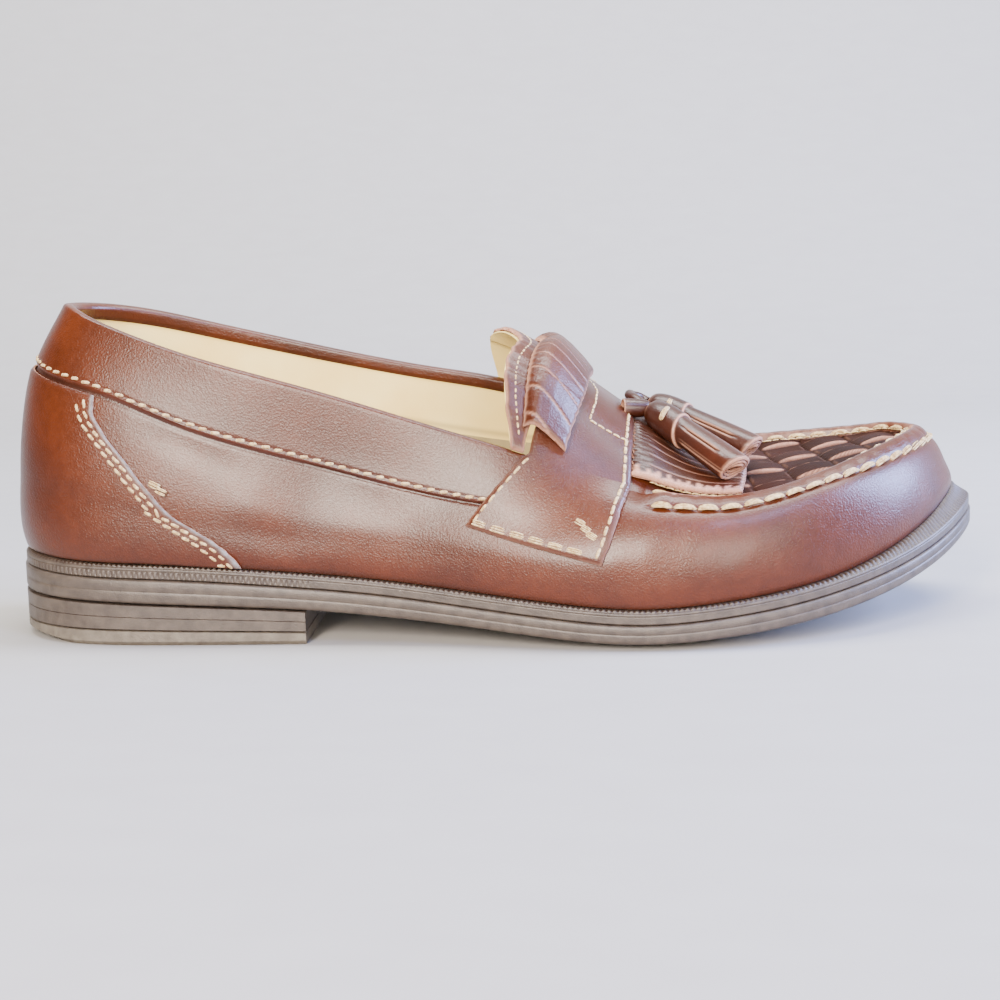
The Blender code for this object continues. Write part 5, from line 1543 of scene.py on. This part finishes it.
rings = [under] + middle + [
    ring_points(ring, 0.15 * SOLE_BEVEL, seat - 0.2 * SOLE_BEVEL), ring_points(ring, 0.4 * SOLE_BEVEL, seat),
    ring_points(ring, WELT_WIDTH, seat), ring_points(ring, WELT_WIDTH, top + ledge_rise(along) - GAP),
]
count, half = len(ring), SOLE_HALF
points, faces = list(np.concatenate(rings)), ring_faces(len(rings), len(ring))
TREAD_ROWS = 40
RIB_PITCH = 0.0042
RIB_HEIGHT = 0.25 * MM
for base, flip in ((0, False), ((len(rings) - 1) * count, True)):
    rows = []
    for step in range(half + 1):
        first, second = base + step, base + (count - step) % count
        row = [first]
        if first != second:
            for share in np.linspace(0.0, 1.0, TREAD_ROWS + 2)[1:-1]:
                spot = points[first] * (1.0 - share) + points[second] * share
                if not flip:
                    place = spot[0] / SOLE_LENGTH + 0.5
                    crown = CROWN * smooth(0.34, 0.50, place) * (1.0 - smooth(0.80, 0.97, place))
                    ribbed = math.sin(2.0 * math.pi * spot[0] / RIB_PITCH) < -0.55
                    rib = RIB_HEIGHT * ribbed * (0.06 < share < 0.94)
                    spot[2] = max(0.0, tread_edge(place) - crown * (1.0 - (2.0 * share - 1.0) ** 2)) + rib
                row.append(len(points))
                points.append(spot)
        row.append(second)
        rows.append(row)
    for before, after in zip(rows, rows[1:]):
        width = max(len(before), len(after))
        before = before if len(before) == width else [before[0]] * width
        after = after if len(after) == width else [after[0]] * width
        for place in range(width - 1):
            face = [before[place], before[place + 1], after[place + 1], after[place]]
            face = tuple(dict.fromkeys(face))
            faces.append(face[::-1] if flip else face)
make_piece("outsole_moulded", points, faces, [sole_rubber], ("outsole",))


# %% Heel block and top lift
def heel_ring(count):
    """Places round the heel from the lateral breast, over the back, to the medial breast."""
    ends = float(turn_at(HEEL_BREAST, -1)), 2.0 - float(turn_at(HEEL_BREAST, 1))
    spread = np.linspace(1.0, 0.0, count) ** 1.15
    return np.concatenate([spread[:-1] * ends[0], spread[::-1] * -ends[1]]) % 2.0


def open_stack(rings):
    """A block closed by flat caps and a straight front face."""
    count = len(rings[0])
    faces = []
    for level in range(len(rings) - 1):
        base = level * count
        for place in range(count - 1):
            faces.append((base + place, base + place + 1, base + count + place + 1, base + count + place))
        faces.append((base + count - 1, base, base + count, base + 2 * count - 1))
    for base, flip in ((0, False), ((len(rings) - 1) * count, True)):
        for place in range(count // 2):
            face = [base + place, base + place + 1, base + count - 2 - place, base + count - 1 - place]
            face = tuple(dict.fromkeys(face))
            if len(face) > 2:
                faces.append(face if flip else face[::-1])
    return np.concatenate(rings), faces


ring = heel_ring(110)
along = along_of(ring)
height = tread_edge(along) - GAP
bevel = 0.4 * SOLE_BEVEL
line = LAYER_LINE_SHARE


def heel_part(name, profile, finish, stands_for, worn=0.0):
    rings = [ring_points(ring, inward, height * share + rise) for inward, share, rise, _ in profile]
    if worn:
        gone = 1.0 - smooth(0.0, 0.075, along)
        out = edge_frame(ring)[1]
        rings[-2][:, 2] += gone * 1.4 * SOLE_BEVEL
        rings[-1][:, :2] -= out * (gone * 5.0 * SOLE_BEVEL)[:, None]
        rings[-1][:, 2] = 0.0
    points, faces = open_stack(rings)
    dark = np.repeat([row[3] for row in profile], len(ring))
    scuff = 0.25 * (noise.random(len(points)) > 0.93)
    make_piece(name, points, faces, [finish], (stands_for,), None,
               as_paint(0.0 * dark, dark + scuff), 35)


# The last number of each row darkens its ring: painted shade in the grooves and joins between the layers; on
# the lift, darker along its edge on the floor too.
heel_part("heel_layers", [
    (2.2 * SOLE_BEVEL, 1.0, 0.0, 0.4), (0.3 * bevel, 1.0, 0.0, 0.2), (0.0, 1.0, -0.4 * bevel, 0.0),
    (0.0, 0.5 * (1.0 + line), 0.0, 0.0), (0.0, line, 0.35 * bevel, 0.0),
    (0.25 * GROOVE, line, 0.2 * bevel, 0.1), (0.6 * GROOVE, line, 0.0, 0.35), (0.0, line, -0.2 * bevel, 0.0),
    (0.0, 0.5 * (line + TOP_LIFT_SHARE), 0.0, 0.0),
    (0.0, TOP_LIFT_SHARE, 0.4 * bevel + GAP, 0.0), (GROOVE, TOP_LIFT_SHARE, GAP, 0.4),
], sole_rubber, "heel_block")
heel_part("heel_lift", [
    (GROOVE, TOP_LIFT_SHARE, 0.0, 0.4), (0.0, TOP_LIFT_SHARE, -0.4 * bevel, 0.0),
    (0.0, 0.5 * TOP_LIFT_SHARE, 0.0, 0.0), (0.0, 0.0, 2.6 * bevel, 0.0), (2.0 * bevel, 0.0, 0.0, 0.3),
], lift_rubber, "heel_top_lift", 1.0)

# %% Insole
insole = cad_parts["insole"]
insole.data.materials.clear()
insole.data.materials.append(sock_lining)

# %% [markdown]
# ## Check of the size
# The box round the dressed shoe is printed, in millimetres.
# The dressed shoe stays close to the plain one: both boxes go to a file, in metres.

# %% Size of the dressed shoe
low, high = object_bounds()
print("dressed", [round((b - a) / MM, 1) for a, b in zip(low, high)], "mm")
